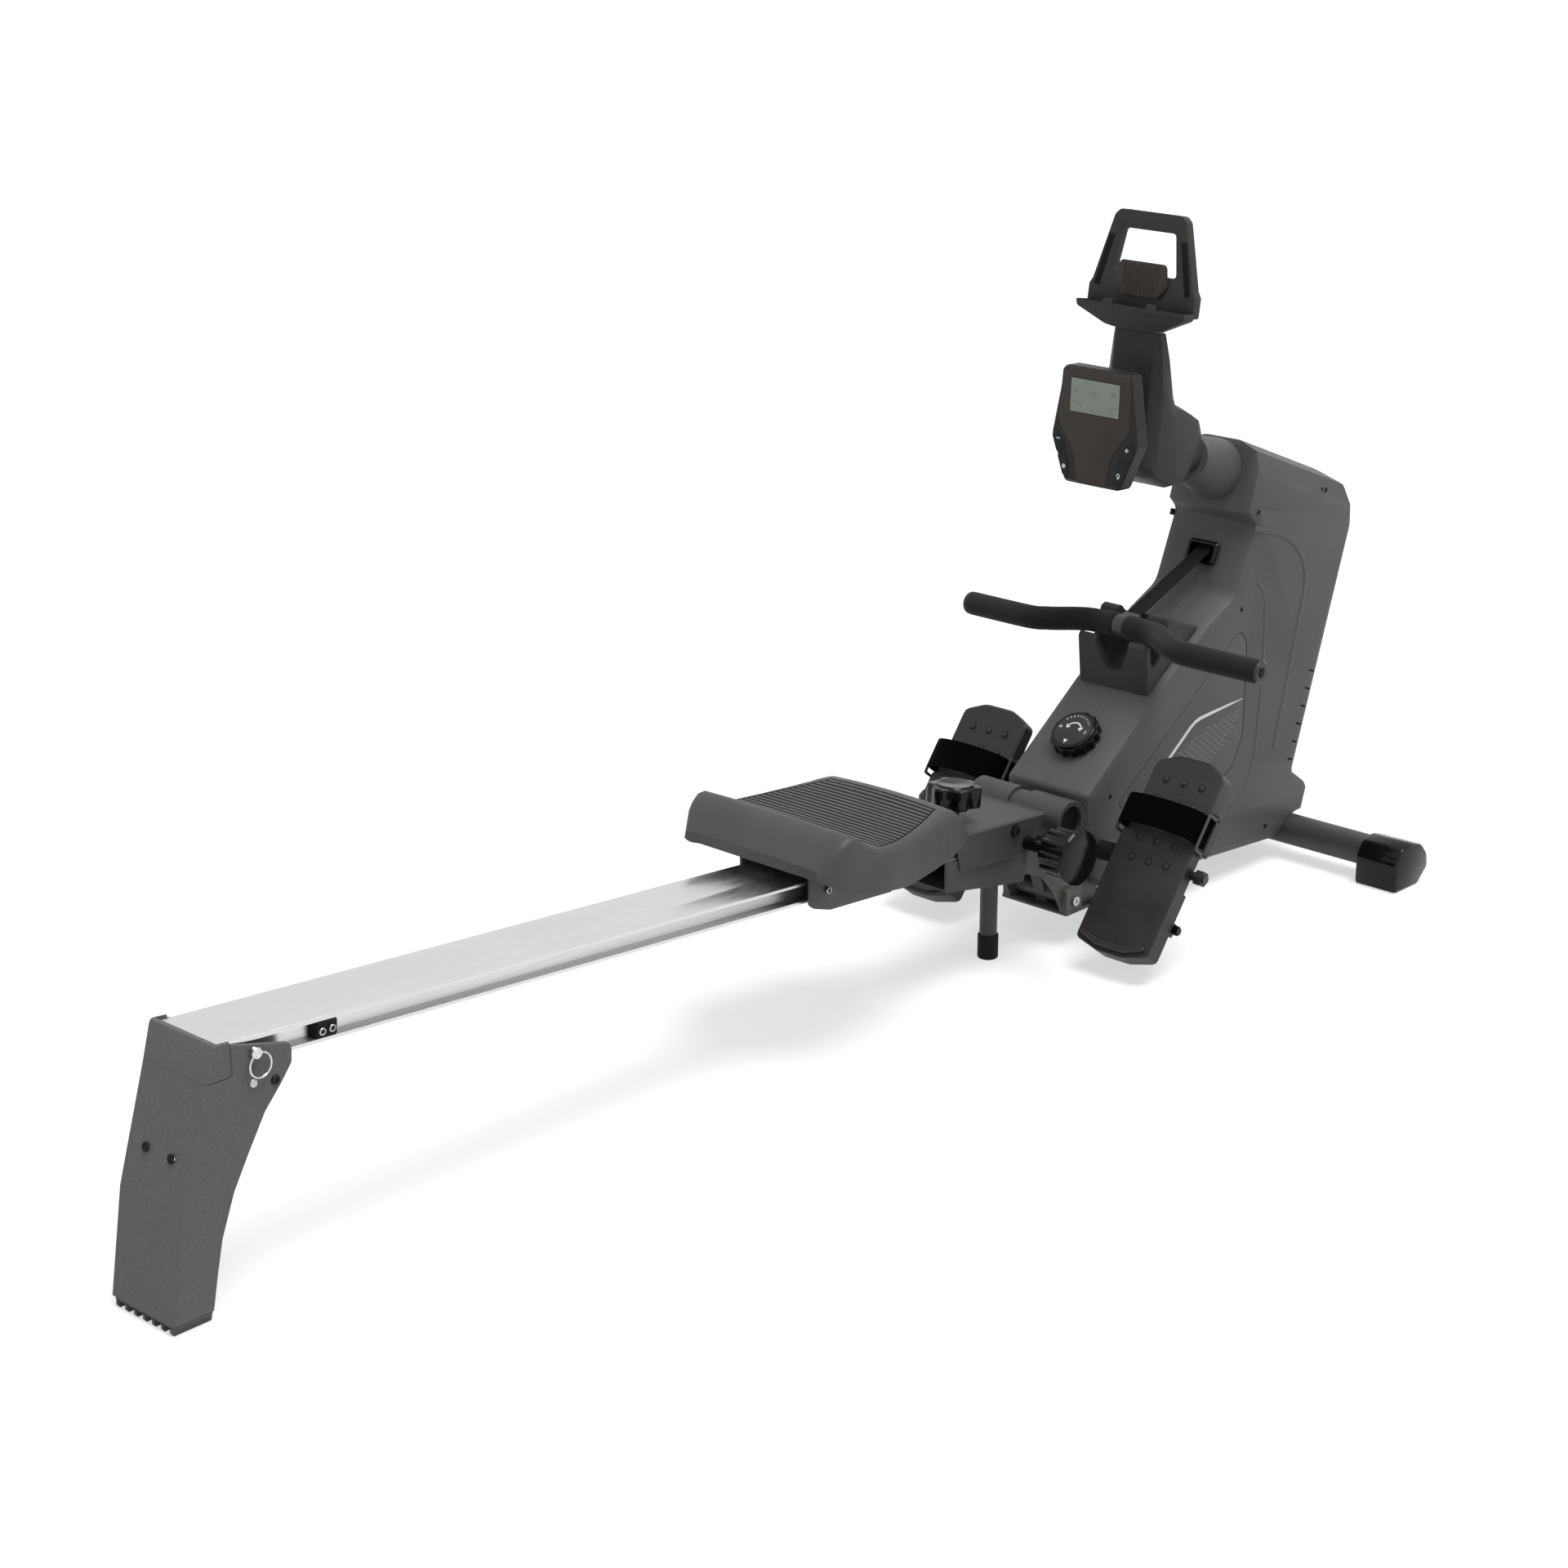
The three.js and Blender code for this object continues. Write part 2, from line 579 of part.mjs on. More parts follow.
function frontChannel() {
  const top = (x) => railUnderside(x) - 0.5;
  const side = [
    [CHANNEL_REAR, top(CHANNEL_REAR)],
    [CHANNEL_REAR, channelFloor(CHANNEL_REAR), 3],
    [CHANNEL_FRONT - 11, channelFloor(CHANNEL_FRONT - 11), 4],
    [CHANNEL_FRONT, top(CHANNEL_FRONT)],
  ];
  const inside = CHANNEL_HALF_WIDTH - CHANNEL_WALL;
  const trough = [
    [CHANNEL_REAR - 9, FAR],
    [CHANNEL_REAR - 9, channelFloor(CHANNEL_REAR - 9) + CHANNEL_WALL],
    [CHANNEL_FRONT + 9, channelFloor(CHANNEL_FRONT + 9) + CHANNEL_WALL],
    [CHANNEL_FRONT + 9, FAR],
  ];
  const channel = cut(
    prism("y", outline(side), -CHANNEL_HALF_WIDTH, CHANNEL_HALF_WIDTH),
    prism("y", outline(trough), -inside, inside),
    crossBar(lockX, lockZ, -FAR, FAR, LOCK_PIN_RADIUS + 0.7),
  );
  const post = bar([POST_X, 0, 4 + GAP], [POST_X, 0, channelFloor(POST_X) + 2], POST_RADIUS, 20);
  piece("front_channel", join(channel, post), LIGHT_PAINT, machine);
}

function postFoot() {
  const bore = POST_RADIUS + GAP;
  const profile = [
    [0, 0],
    [POST_FOOT_RADIUS - 1, 0],
    [POST_FOOT_RADIUS, 1.5],
    [POST_FOOT_RADIUS, POST_FOOT_HEIGHT],
    [bore, POST_FOOT_HEIGHT],
    [bore, 4],
    [0, 4],
  ];
  piece("post_foot", turned(profile, [POST_X, 0, 0], [0, 0, 1], 20), RUBBER, machine);
}

const GUSSET_OUT = CHANNEL_HALF_WIDTH - CHANNEL_WALL - GAP;
const PLATE_IN = 40;
const PLATE_OUT = 43;
const BEAM_FLOOR = STABILISER_Z + STABILISER_RADIUS + GAP;

// Plates, ears and gussets that carry the front channel and the neck.
function frontWeldment() {
  const gusset = [
    [264, 127, 4],
    [300, 121],
    [334, 108, 20],
    [360, 78, 20],
    [378, 46],
    [450, 46],
    [450, 96, 8],
    [440, 140, 10],
    [408, 141, 10],
    [372, 150, 20],
    [330, 160, 10],
    [266, 158, 4],
  ];
  const sides = [
    prism("y", outline(gusset), GUSSET_OUT - 4, GUSSET_OUT),
    prism("y", outline(gusset), -GUSSET_OUT, -GUSSET_OUT + 4),
  ];
  const plate = slab("z", [[374, -55, 3], [450, -55], [450, 55], [374, 55, 3]], 43, 47, 0.8);
  const ears = [1, -1].map((s) => {
    const [y0, y1] = [s * (GUSSET_OUT - 4), s * 53.5].sort((a, b) => a - b);
    return slab("y", [[375, 44], [408, 44], [408, 78, 3], [375, 78, 3]], y0, y1, 0.6);
  });
  const bulkhead = block(444, 450, -GUSSET_OUT, GUSSET_OUT, 44, 96);
  const sleeve = crossBar(CROSS_PIN_X, CROSS_PIN_Z, -GUSSET_OUT, GUSSET_OUT, 7.5, 20);
  const arm = [[432, 46], [390, 46], [foldX - 8, foldZ - 3.5], [foldX + 8, foldZ + 3.5]];
  const neck = prism("y", outline(arm), -NECK_HALF_WIDTH, NECK_HALF_WIDTH);
  const axleSleeve = crossBar(PEDAL_X, PEDAL_Z, -60, 60, 10, 20);
  const hub = crossBar(foldX, foldZ, -NECK_HALF_WIDTH, NECK_HALF_WIDTH, 13.4, 20);
  return join(...sides, plate, ...ears, bulkhead, sleeve, neck, hub, axleSleeve);
}

function mainFrame() {
  const top = BEAM_FLOOR + BEAM_HEIGHT;
  const beam = block(446, STABILISER_X + 14, -BEAM_HALF_WIDTH, BEAM_HALF_WIDTH, BEAM_FLOOR, top);
  const foot = block(700, 800, -PLATE_OUT, PLATE_OUT, top - 1, top + 4);
  const side = [
    [712, top + 1],
    [782, top + 1],
    [800, 360],
    [846, 420, 20],
    [850, 490, 20],
    [824, 520, 10],
    [796, 516],
    [786, 480, 20],
    [724, 290, 20],
  ];
  const plates = [
    prism("y", outline(side), PLATE_IN, PLATE_OUT),
    prism("y", outline(side), -PLATE_OUT, -PLATE_IN),
  ];
  const wheelAxle = crossBar(FLYWHEEL_X, FLYWHEEL_Z, -PLATE_OUT - 4, PLATE_OUT + 4, AXLE_RADIUS);
  const spoolAxle = crossBar(SPOOL_X, SPOOL_Z, -PLATE_OUT - 4, PLATE_OUT + 4, AXLE_RADIUS);
  const body = join(frontWeldment(), beam, foot, ...plates, wheelAxle, spoolAxle, mastSaddle(), yokeLug());
  const bores = [
    crossBar(foldX, foldZ, -FAR, FAR, HINGE_ROD_RADIUS + RUNNING),
    crossBar(CROSS_PIN_X, CROSS_PIN_Z, -FAR, FAR, 4 + GAP, 16),
    crossBar(PEDAL_X, PEDAL_Z, -FAR, FAR, PEDAL_AXLE_RADIUS + GAP),
    mastTubeBore(),
  ];
  piece("main_frame", cut(body, ...bores), FRAME_PAINT, machine);
}

const alongTube = (s) => toMachine(tubeFrame, [s, 0, 0]);
const mastTubeBore = () => bar(alongTube(-FAR), alongTube(TUBE_END + GAP), TUBE_RADIUS + GAP, 28);

// The clamp ring round the end of the mast tube, between the two side plates.
function mastSaddle() {
  const ring = bar(alongTube(-8), alongTube(TUBE_END - 2), TUBE_RADIUS + 4, 24);
  const yoke = [[798, 517], [822, 517], [818, 536], [800, 542]];
  return join(ring, prism("y", outline(yoke), -PLATE_OUT, PLATE_OUT));
}

// The bar that carries the magnet yoke, on an arm of each side plate.
const YOKE_X = 647;
const YOKE_Z = 353;
function yokeLug() {
  const arm = [[YOKE_X - 8, YOKE_Z - 8, 6], [YOKE_X - 4, YOKE_Z + 9, 6], [770, 372], [760, 335]];
  const rod = crossBar(YOKE_X, YOKE_Z, -PLATE_OUT, PLATE_OUT, 5, 16);
  const arms = [prism("y", outline(arm), PLATE_IN, PLATE_OUT), prism("y", outline(arm), -PLATE_OUT, -PLATE_IN)];
  return join(rod, ...arms);
}

function crossPin() {
  const rod = crossBar(CROSS_PIN_X, CROSS_PIN_Z, -54, 54, 4, 16);
  const heads = [1, -1].map((s) => {
    const [y0, y1] = [s * 53.8, s * 57].sort((a, b) => a - b);
    return crossBar(CROSS_PIN_X, CROSS_PIN_Z, y0, y1, 6.5, 20);
  });
  const sockets = [1, -1].map((s) => {
    const [y0, y1] = [s * 55, s * 60].sort((a, b) => a - b);
    return crossBar(CROSS_PIN_X, CROSS_PIN_Z, y0, y1, 3.4, 6);
  });
  piece("cross_pin", cut(join(rod, ...heads), ...sockets), STEEL, machine);
}

// ---------------------------------------------------------------- stabiliser
const CAP_PROFILE = [
  [832, 0, 6],
  [890, 0, 8],
  [914, 20, 8],
  [911, 40, 12],
  [896, 57, 14],
  [868, 65.5, 16],
  [846, 61, 14],
  [832, 42, 10],
];

function stabiliser() {
  const end = STABILISER_HALF_WIDTH - 25;
  const outer = crossBar(STABILISER_X, STABILISER_Z, -end, end, STABILISER_RADIUS, 28);
  const bore = crossBar(STABILISER_X, STABILISER_Z, -FAR, FAR, STABILISER_RADIUS - 2, 28);
  piece("stabiliser_tube", cut(outer, bore), FRAME_PAINT, machine);
  const inner = STABILISER_HALF_WIDTH - STABILISER_CAP;
  const cap = slab("y", CAP_PROFILE, inner, STABILISER_HALF_WIDTH, 4, { steps: 2 });
  const pocket = crossBar(STABILISER_X, STABILISER_Z, inner - 5, end + GAP, STABILISER_RADIUS + GAP, 28);
  const solid = cut(cap, pocket);
  piece("stabiliser_cap_left", onSide(1, solid), FOOT_PLASTIC, machine);
  piece("stabiliser_cap_right", onSide(-1, solid), FOOT_PLASTIC, machine);
}

// ---------------------------------------------------------------- housing
const HOUSING = [
  [392, 208, 10],
  [534, 311, 30],
  [648, 386, 30],
  [703, 411, 24],
  [742, 503, 6],
  [726, 520, 4],
  [755, 612, 5],
  [778, 603, 8],
  [948, 536.5, 24],
  [968, 517, 24],
  [980.5, 488, 24],
  [981.5, 458, 24],
  [869, 126, 4],
  [901, 104, 8],
  [908, 92, 8],
  [897, 58, 6],
  [879, 57, 4],
  [860, 40, 4],
  [824, 32, 8],
  [666, 44, 20],
  [480, 50, 10],
  [430, 71, 8],
  [413, 91, 8],
  [400, 150, 20],
];
const TOP_FRONT = [778, 603];
const TOP_REAR = [956, 533];

// A shallow recess on each side, which takes a smooth inlay.
const PANEL = [
  [456, 183, 6],
  [706, 356, 16],
  [722, 361, 10],
  [735, 340, 16],
  [735, 210, 30],
  [712, 168, 16],
  [640, 138, 20],
  [516, 114, 14],
];
const PANEL_DEPTH = 1.4;

// The housing's outside, or its inside when a wall is given.
function housingBody(wall) {
  const corners = [...HOUSING].reverse();
  const shape = wall > 0 ? inset(corners, wall).map(([x, z]) => [x, z]) : corners;
  const half = HOUSING_HALF_WIDTH - wall;
  const steps = wall > 0 ? 1 : 2;
  const sides = slab("y", shape, -half, half, HOUSING_ROUND - wall * 0.5, { steps });
  const arch = [
    [half + 1, 2 - wall, 52],
    [-half - 1, 2 - wall, 52],
    [-half - 1, -900],
    [half + 1, -900],
  ];
  const fall = Math.atan2(TOP_FRONT[1] - TOP_REAR[1], TOP_REAR[0] - TOP_FRONT[0]);
  const roof = placed(slab("x", arch, -700, 500, 0, { low: false, high: false }), ...TOP_FRONT, 0);
  roof.translate(-TOP_FRONT[0], 0, -TOP_FRONT[1]);
  roof.rotateY(fall).translate(TOP_FRONT[0], 0, TOP_FRONT[1]);
  return common(sides, roof);
}

// The boss round the mast tube: [radius, distance along the tube].
const BOSS = [
  [30.5, -120],
  [33.5, -117],
  [34.5, -104],
  [37.5, -86],
  [40.5, -66],
  [42, -44],
  [42.5, -6],
];

function mastBoss(wall) {
  const outer = BOSS.map(([radius, s], i) => [radius - wall, s + (wall > 0 && i === 0 ? 8 : 0)]);
  const inside = outer.filter(([, s], i) => i === 0 || s > outer[0][1] + 1);
  const profile = [[0, outer[0][1]], ...inside, [0, -6]];
  const fall = THREE.MathUtils.degToRad(TUBE_FALL);
  return turned(profile, alongTube(0), [Math.cos(fall), 0, -Math.sin(fall)], wall > 0 ? 14 : 28);
}

const SCREWS = [
  [748, 520],
  [718, 391],
  [440, 196],
  [800, 61],
  [667, 57],
  [906, 522],
];

// Where the belt leaves: the bezel sits flat on the front face.
const BEZEL_X = 721;
const BEZEL_Z = 458;
const BEZEL_TILT = 67; // degrees from the horizontal, the front face's own slope
const BEZEL_HALF_WIDTH = 24.7;
const BEZEL_HALF_HEIGHT = 16;
const WINDOW_HALF_WIDTH = 21.5;
const WINDOW_HALF_HEIGHT = 13;
const bezelPlace = (geometry) => placed(geometry, BEZEL_X, BEZEL_Z, 90 - BEZEL_TILT);

function knobSeat() {
  const [x, z] = [458, 255.9];
  return { x, z, direction: [-0.5872, 0, 0.8095] };
}

function housing() {
  const window = bezelPlace(
    block(-20, 12, -WINDOW_HALF_WIDTH - GAP, WINDOW_HALF_WIDTH + GAP, -WINDOW_HALF_HEIGHT, WINDOW_HALF_HEIGHT),
  );
  const { x, z, direction } = knobSeat();
  const spindle = turned([[0, -20], [4.4, -20], [4.4, 20], [0, 20]], [x, 0, z], direction, 16);
  const notch = join(
    crossBar(STABILISER_X, STABILISER_Z, -FAR, FAR, STABILISER_RADIUS + 1, 28),
    block(STABILISER_X - STABILISER_RADIUS - 1, STABILISER_X + STABILISER_RADIUS + 1, -FAR, FAR, 0, STABILISER_Z),
  );
  const entry = slab("x", [[-58, 20], [58, 20], [58, 148, 10], [-58, 148, 10]], 360, 482, 0, {
    low: false,
    high: false,
  });
  const recess = HOUSING_HALF_WIDTH - PANEL_DEPTH;
  const panels = [
    prism("y", outline(PANEL), recess, recess + 20),
    prism("y", outline(PANEL), -recess - 20, -recess),
  ];
  const hollow = join(housingBody(HOUSING_WALL), mastBoss(HOUSING_WALL));
  const shell = cut(join(housingBody(0), mastBoss(0)), hollow);
  const bores = [
    bar(alongTube(-FAR), alongTube(60), TUBE_RADIUS + GAP, 32),
    crossBar(PEDAL_X, PEDAL_Z, -FAR, FAR, 11, 24),
    ...SCREWS.map(([sx, sz]) => crossBar(sx, sz, -FAR, -40, 2.6, 8)),
  ];
  const openings = [window, spindle, notch, entry, ...panels, ...bores, ...vents()];
  const open = cut(shell, ...openings);
  const left = cut(open, block(0, 1200, -FAR, GAP / 2, -10, 900));
  const right = cut(open, block(0, 1200, -GAP / 2, FAR, -10, 900));
  piece("housing_left", left, SHELL, machine);
  piece("housing_right", right, SHELL, machine);
}

// Six slots near the lower rear edge, on both sides.
function vents() {
  const slots = [];
  for (let i = 0; i < 6; i++) {
    const z = 146 + i * 24;
    const x = 850 + ((z - 135) * 114) / 330;
    slots.push(placed(block(-7, 7, -FAR, FAR, -1.1, 1.1), x, z, 22));
  }
  return slots;
}

// A frame with a rounded opening on the front face, and a collar in the window.
function beltBezel() {
  const ring = (y, z, r) => [[-y, -z, r], [y, -z, r], [y, z, r], [-y, z, r]];
  const face = slab("x", ring(BEZEL_HALF_WIDTH, BEZEL_HALF_HEIGHT, 6), -4.5, -0.6, 2.4, { high: false });
  const collar = slab("x", ring(WINDOW_HALF_WIDTH, WINDOW_HALF_HEIGHT - GAP, 4), -2, 4, 0, {
    low: false,
    high: false,
  });
  const opening = slab("x", ring(WINDOW_HALF_WIDTH - 2, WINDOW_HALF_HEIGHT - 2, 3), -20, 20, 0, { low: false, high: false });
  const geometry = geometryOf(cut(join(face, collar), opening));
  piece("belt_bezel", bezelPlace(geometry), GLOSS_BLACK, machine);
}

function resistanceKnob() {
  const { x, z, direction } = knobSeat();
  const up = new THREE.Vector3(...direction);
  const turn = new THREE.Quaternion().setFromUnitVectors(new THREE.Vector3(0, 0, 1), up);
  const skirt = slab("z", lobes(14, 34, 2.4, 42), 1.4, 15, 1.2);
  const top = turned([[0, 12], [31, 12], [31, 17], [29, 19.5], [0, 20]], [0, 0, 0], [0, 0, 1], 32);
  const spindle = turned([[0, -16], [4, -16], [4, 4], [0, 4]], [0, 0, 0], [0, 0, 1], 16);
  const pointer = block(-2, 2, 14, 28, 19, 21);
  const geometry = geometryOf(join(skirt, top, spindle, pointer));
  geometry.applyQuaternion(turn).translate(x, 0, z);
  piece("resistance_knob", geometry, GLOSS_BLACK, machine);
}

// The rest that the handle hangs on: a front and a rear prong on each side of the belt's way.
function handleRest() {
  const side = [
    [530.5, 309.2],
    [524, 372, 3],
    [528, 380, 4],
    [535, 375, 3],
    [539, 346, 8],
    [553, 352, 8],
    [572, 405, 4],
    [581, 408, 5],
    [592, 396, 6],
    [640, 382],
    [534, 312],
  ];
  const body = slab("y", side, -56.5, 56.5, 2);
  const way = [[-29, 420], [-26, 366, 10], [-13, 334, 14], [13, 334, 14], [26, 366, 10], [29, 420]];
  piece("handle_rest", cut(body, prism("x", outline(way), 500, 700)), SHELL, machine);
}

// ---------------------------------------------------------------- drive train
function magnetYoke() {
  const arc = (radius, from, to) => {
    const points = [];
    for (let k = 0; k <= 10; k++) {
      const angle = THREE.MathUtils.degToRad(from + ((to - from) * k) / 10);
      points.push([FLYWHEEL_X + radius * Math.cos(angle), FLYWHEEL_Z + radius * Math.sin(angle)]);
    }
    return points;
  };
  const inner = FLYWHEEL_RADIUS + 3;
  const outline1 = [...arc(inner, 110, 165), ...arc(inner + 6, 110, 165).reverse()];
  const shoe = prism("y", outline(outline1), -18, 18);
  const lug = crossBar(YOKE_X, YOKE_Z, -18, 18, 9, 20);
  const bore = crossBar(YOKE_X, YOKE_Z, -30, 30, 5 + GAP, 20);
  piece("magnet_yoke", cut(join(shoe, lug), bore), CAST_IRON, machine);
}

function flywheel() {
  const half = 15;
  const profile = [
    [0, -half],
    [FLYWHEEL_RADIUS - 1.5, -half],
    [FLYWHEEL_RADIUS, -half + 1.5],
    [FLYWHEEL_RADIUS, half - 1.5],
    [FLYWHEEL_RADIUS - 1.5, half],
    [95, half],
    [90, half - 8],
    [45, half - 8],
    [40, half],
    [FLYWHEEL_PULLEY_RADIUS + 2, half],
    [FLYWHEEL_PULLEY_RADIUS + 2, half + 3],
    [FLYWHEEL_PULLEY_RADIUS, half + 3],
    [FLYWHEEL_PULLEY_RADIUS, half + 17],
    [0, half + 17],
  ];
  const wheel = turned(profile, [FLYWHEEL_X, 0, FLYWHEEL_Z], [0, 1, 0], 24);
  const marks = [0, 1, 2, 3, 4].map((i) => {
    const angle = (i * 2 * Math.PI) / 5;
    return crossBar(FLYWHEEL_X + 68 * Math.cos(angle), FLYWHEEL_Z + 68 * Math.sin(angle), -30, 30, 10, 6);
  });
  const bore = crossBar(FLYWHEEL_X, FLYWHEEL_Z, -FAR, FAR, AXLE_RADIUS + RUNNING, 20);
  piece("flywheel", cut(wheel, ...marks, bore), CAST_IRON, machine);
}

function beltSpool() {
  const half = BELT_WIDTH / 2 + 1;
  const profile = [
    [0, -half - 3],
    [SPOOL_RADIUS + 6, -half - 3],
    [SPOOL_RADIUS + 6, -half],
    [SPOOL_RADIUS, -half],
    [SPOOL_RADIUS, half],
    [SPOOL_RADIUS + 6, half],
    [SPOOL_RADIUS + 6, half + 3],
    [SPOOL_RADIUS, half + 5],
    [SPOOL_PULLEY_RADIUS, half + 5],
    [SPOOL_PULLEY_RADIUS, half + 19],
    [0, half + 19],
  ];
  const drum = turned(profile, [SPOOL_X, 0, SPOOL_Z], [0, 1, 0], 24);
  const bore = crossBar(SPOOL_X, SPOOL_Z, -FAR, FAR, AXLE_RADIUS + RUNNING, 20);
  piece("belt_spool", cut(drum, bore), DARK_PLASTIC, machine);
}

// The loop round the two pulleys, as one band.
function driveBelt() {
  const [dx, dz] = [SPOOL_X - FLYWHEEL_X, SPOOL_Z - FLYWHEEL_Z];
  const distance = Math.hypot(dx, dz);
  const axis = Math.atan2(dz, dx);
  const path = (extra) => {
    const [small, large] = [FLYWHEEL_PULLEY_RADIUS + extra, SPOOL_PULLEY_RADIUS + extra];
    const lean = Math.acos((large - small) / distance);
    const points = [];
    const round = (x, z, radius, from, to, steps) => {
      for (let k = 0; k <= steps; k++) {
        const angle = from + ((to - from) * k) / steps;
        points.push([x + radius * Math.cos(angle), z + radius * Math.sin(angle)]);
      }
    };
    const open = Math.PI - lean;
    round(SPOOL_X, SPOOL_Z, large, axis - open, axis + open, 22);
    round(FLYWHEEL_X, FLYWHEEL_Z, small, axis + open, axis + 2 * Math.PI - open, 12);
    return points;
  };
  const start = BELT_WIDTH / 2 + 7.5;
  const outer = prism("y", outline(path(2)), start, start + 9);
  const inner = prism("y", outline(path(GAP)), start - 5, start + 15);
  piece("drive_belt", cut(outer, inner), RUBBER, machine);
}

// ---------------------------------------------------------------- mast
// The side view, drawn past the front face and the top, where the post is trimmed.
const MAST_SIDE = [
  [-340, 86.4],
  [-245, 2, 14],
  [-203, -12.5, 10],
  [-181, -9.5, 14],
  [-165, 5, 14],
  [-143, 56, 14],
  [-155, 80, 12],
  [-192, 94.5, 4],
  [-210, 99, 8],
  [-217, 110, 10],
  [-257.5, 230],
  [-340, 230],
];
const MAST_HALF_WIDTH = 46;
const CONSOLE_PIVOT_X = 519;
const CONSOLE_PIVOT_Z = 660;
const HOLDER_PIVOT_X = 559;
const HOLDER_PIVOT_Z = 792;
const KNUCKLE_RADIUS = 7;
const PIN_RADIUS = 3;

// The moulded mast: a tapering post over a block that takes the tube, with the two hinges' ears.
function mastShell() {
  const front = [
    [-MAST_HALF_WIDTH, -35],
    [MAST_HALF_WIDTH, -35],
    [MAST_HALF_WIDTH, 92, 20],
    [43.6, 135],
    [36.9, 191, 3],
    [-36.9, 191, 3],
    [-43.6, 135],
    [-MAST_HALF_WIDTH, 92, 20],
  ];
  const rounded = slab("y", MAST_SIDE, -MAST_HALF_WIDTH, MAST_HALF_WIDTH, 17, { steps: 2 });
  const plan = [
    [MAST_FRONT, -31, 5],
    [MAST_FRONT + 13, -MAST_HALF_WIDTH, 5],
    [-100, -MAST_HALF_WIDTH],
    [-100, MAST_HALF_WIDTH],
    [MAST_FRONT + 13, MAST_HALF_WIDTH, 5],
    [MAST_FRONT, 31, 5],
  ];
  const post = common(common(rounded, prism("x", outline(front), -340, 0)), prism("z", outline(plan), -60, 240));
  const inMast = (s) => fromMachine(mastFrame, alongTube(s));
  const bore = bar(inMast(TUBE_START - GAP), inMast(0), TUBE_RADIUS + GAP, 28);
  const [pivotX, , pivotZ] = fromMachine(mastFrame, [CONSOLE_PIVOT_X, 0, CONSOLE_PIVOT_Z]);
  const ear = [
    [MAST_FRONT + 2, pivotZ - 15],
    [pivotX - 1, pivotZ - 12, 8],
    [pivotX - 12, pivotZ - 2, 8],
    [pivotX - 6, pivotZ + 11, 8],
    [MAST_FRONT + 2, pivotZ + 15],
  ];
  const ears = [
    prism("y", outline(ear), EAR_IN, EAR_OUT),
    prism("y", outline(ear), -EAR_OUT, -EAR_IN),
  ];
  const consolePin = crossBar(pivotX, pivotZ, -EAR_IN - 2, EAR_IN + 2, PIN_RADIUS + 1, 14);
  const [topX, , topZ] = fromMachine(mastFrame, [HOLDER_PIVOT_X, 0, HOLDER_PIVOT_Z]);
  const knuckle = [
    [topX - 6, 184],
    [topX + 6, 184],
    [topX + 6, topZ + 1, 5],
    [topX, topZ + KNUCKLE_RADIUS, 4],
    [topX - 6, topZ + 1, 5],
  ];
  const middle = prism("y", outline(knuckle), -14, 14);
  const holderPin = crossBar(topX, topZ, -34, 34, PIN_RADIUS, 14);
  piece("mast_shell", cut(join(post, ...ears, consolePin, middle, holderPin), bore), DARK_PLASTIC, mastFrame);
}
const EAR_IN = 20;
const EAR_OUT = 29;

function mastTube() {
  const tube = bar([TUBE_START, 0, 0], [TUBE_END, 0, 0], TUBE_RADIUS, 28);
  const bore = bar([-FAR, 0, 0], [FAR, 0, 0], TUBE_RADIUS - 2, 28);
  piece("mast_tube", cut(tube, bore), STEEL, tubeFrame);
}

// ---------------------------------------------------------------- console
const CONSOLE_LEAN = 2.3; // degrees
const CONSOLE_FACE = -49; // in front of the tilt pin
const CONSOLE_DEPTH = 28;
const CONSOLE_OUTLINE = [
  [53, 83, 7],
  [69, -8, 6],
  [45, -68, 8],
  [-45, -68, 8],
  [-69, -8, 6],
  [-53, 83, 7],
];
const KEY_PROUD = 1;
const KEY_TRAVEL = 1.5;
const consoleFrame = new THREE.Group();
consoleFrame.position.set(CONSOLE_PIVOT_X, 0, CONSOLE_PIVOT_Z);
consoleFrame.rotation.y = THREE.MathUtils.degToRad(CONSOLE_LEAN);
machine.add(consoleFrame);

const SCREEN = [[-39, 25, 1], [39, 25, 1], [39, 68, 1], [-39, 68, 1]];
const UPPER_KEY = [[63, 0, 3], [65.5, -11, 2], [57, -32, 3], [44, -25, 3], [47, -15, 3]];
const LOWER_KEY = [[56, -34.5, 3], [46, -60, 4], [36, -60, 3], [39, -40, 3], [43.5, -27.5, 3]];

function consoleBody() {
  const back = CONSOLE_FACE + CONSOLE_DEPTH;
  const shell = slab("x", CONSOLE_OUTLINE, CONSOLE_FACE, back, 4);
  const neck = block(back - 2, 0, -EAR_IN + RUNNING, EAR_IN - RUNNING, -8, 8);
  const barrel = crossBar(0, 0, -EAR_IN + RUNNING, EAR_IN - RUNNING, 11, 24);
  const bore = crossBar(0, 0, -FAR, FAR, PIN_RADIUS + 1 + RUNNING, 16);
  const pocket = prism("x", outline(inset(SCREEN, -GAP)), CONSOLE_FACE - 1, CONSOLE_FACE + 2.5);
  const sockets = [UPPER_KEY, LOWER_KEY].flatMap((key) => {
    const other = key.map(([y, z, radius]) => [-y, z, radius]);
    return [key, other].map((corners) =>
      prism("x", outline(inset(corners, -RUNNING)), CONSOLE_FACE - 1, CONSOLE_FACE + 5),
    );
  });
  piece("console_body", cut(join(shell, neck, barrel), bore, pocket, ...sockets), DARK_PLASTIC, consoleFrame);
  const glass = slab("x", SCREEN, CONSOLE_FACE, CONSOLE_FACE + 2.5 - GAP, 0.4, { high: false });
  piece("console_screen", glass, LCD, consoleFrame);
}

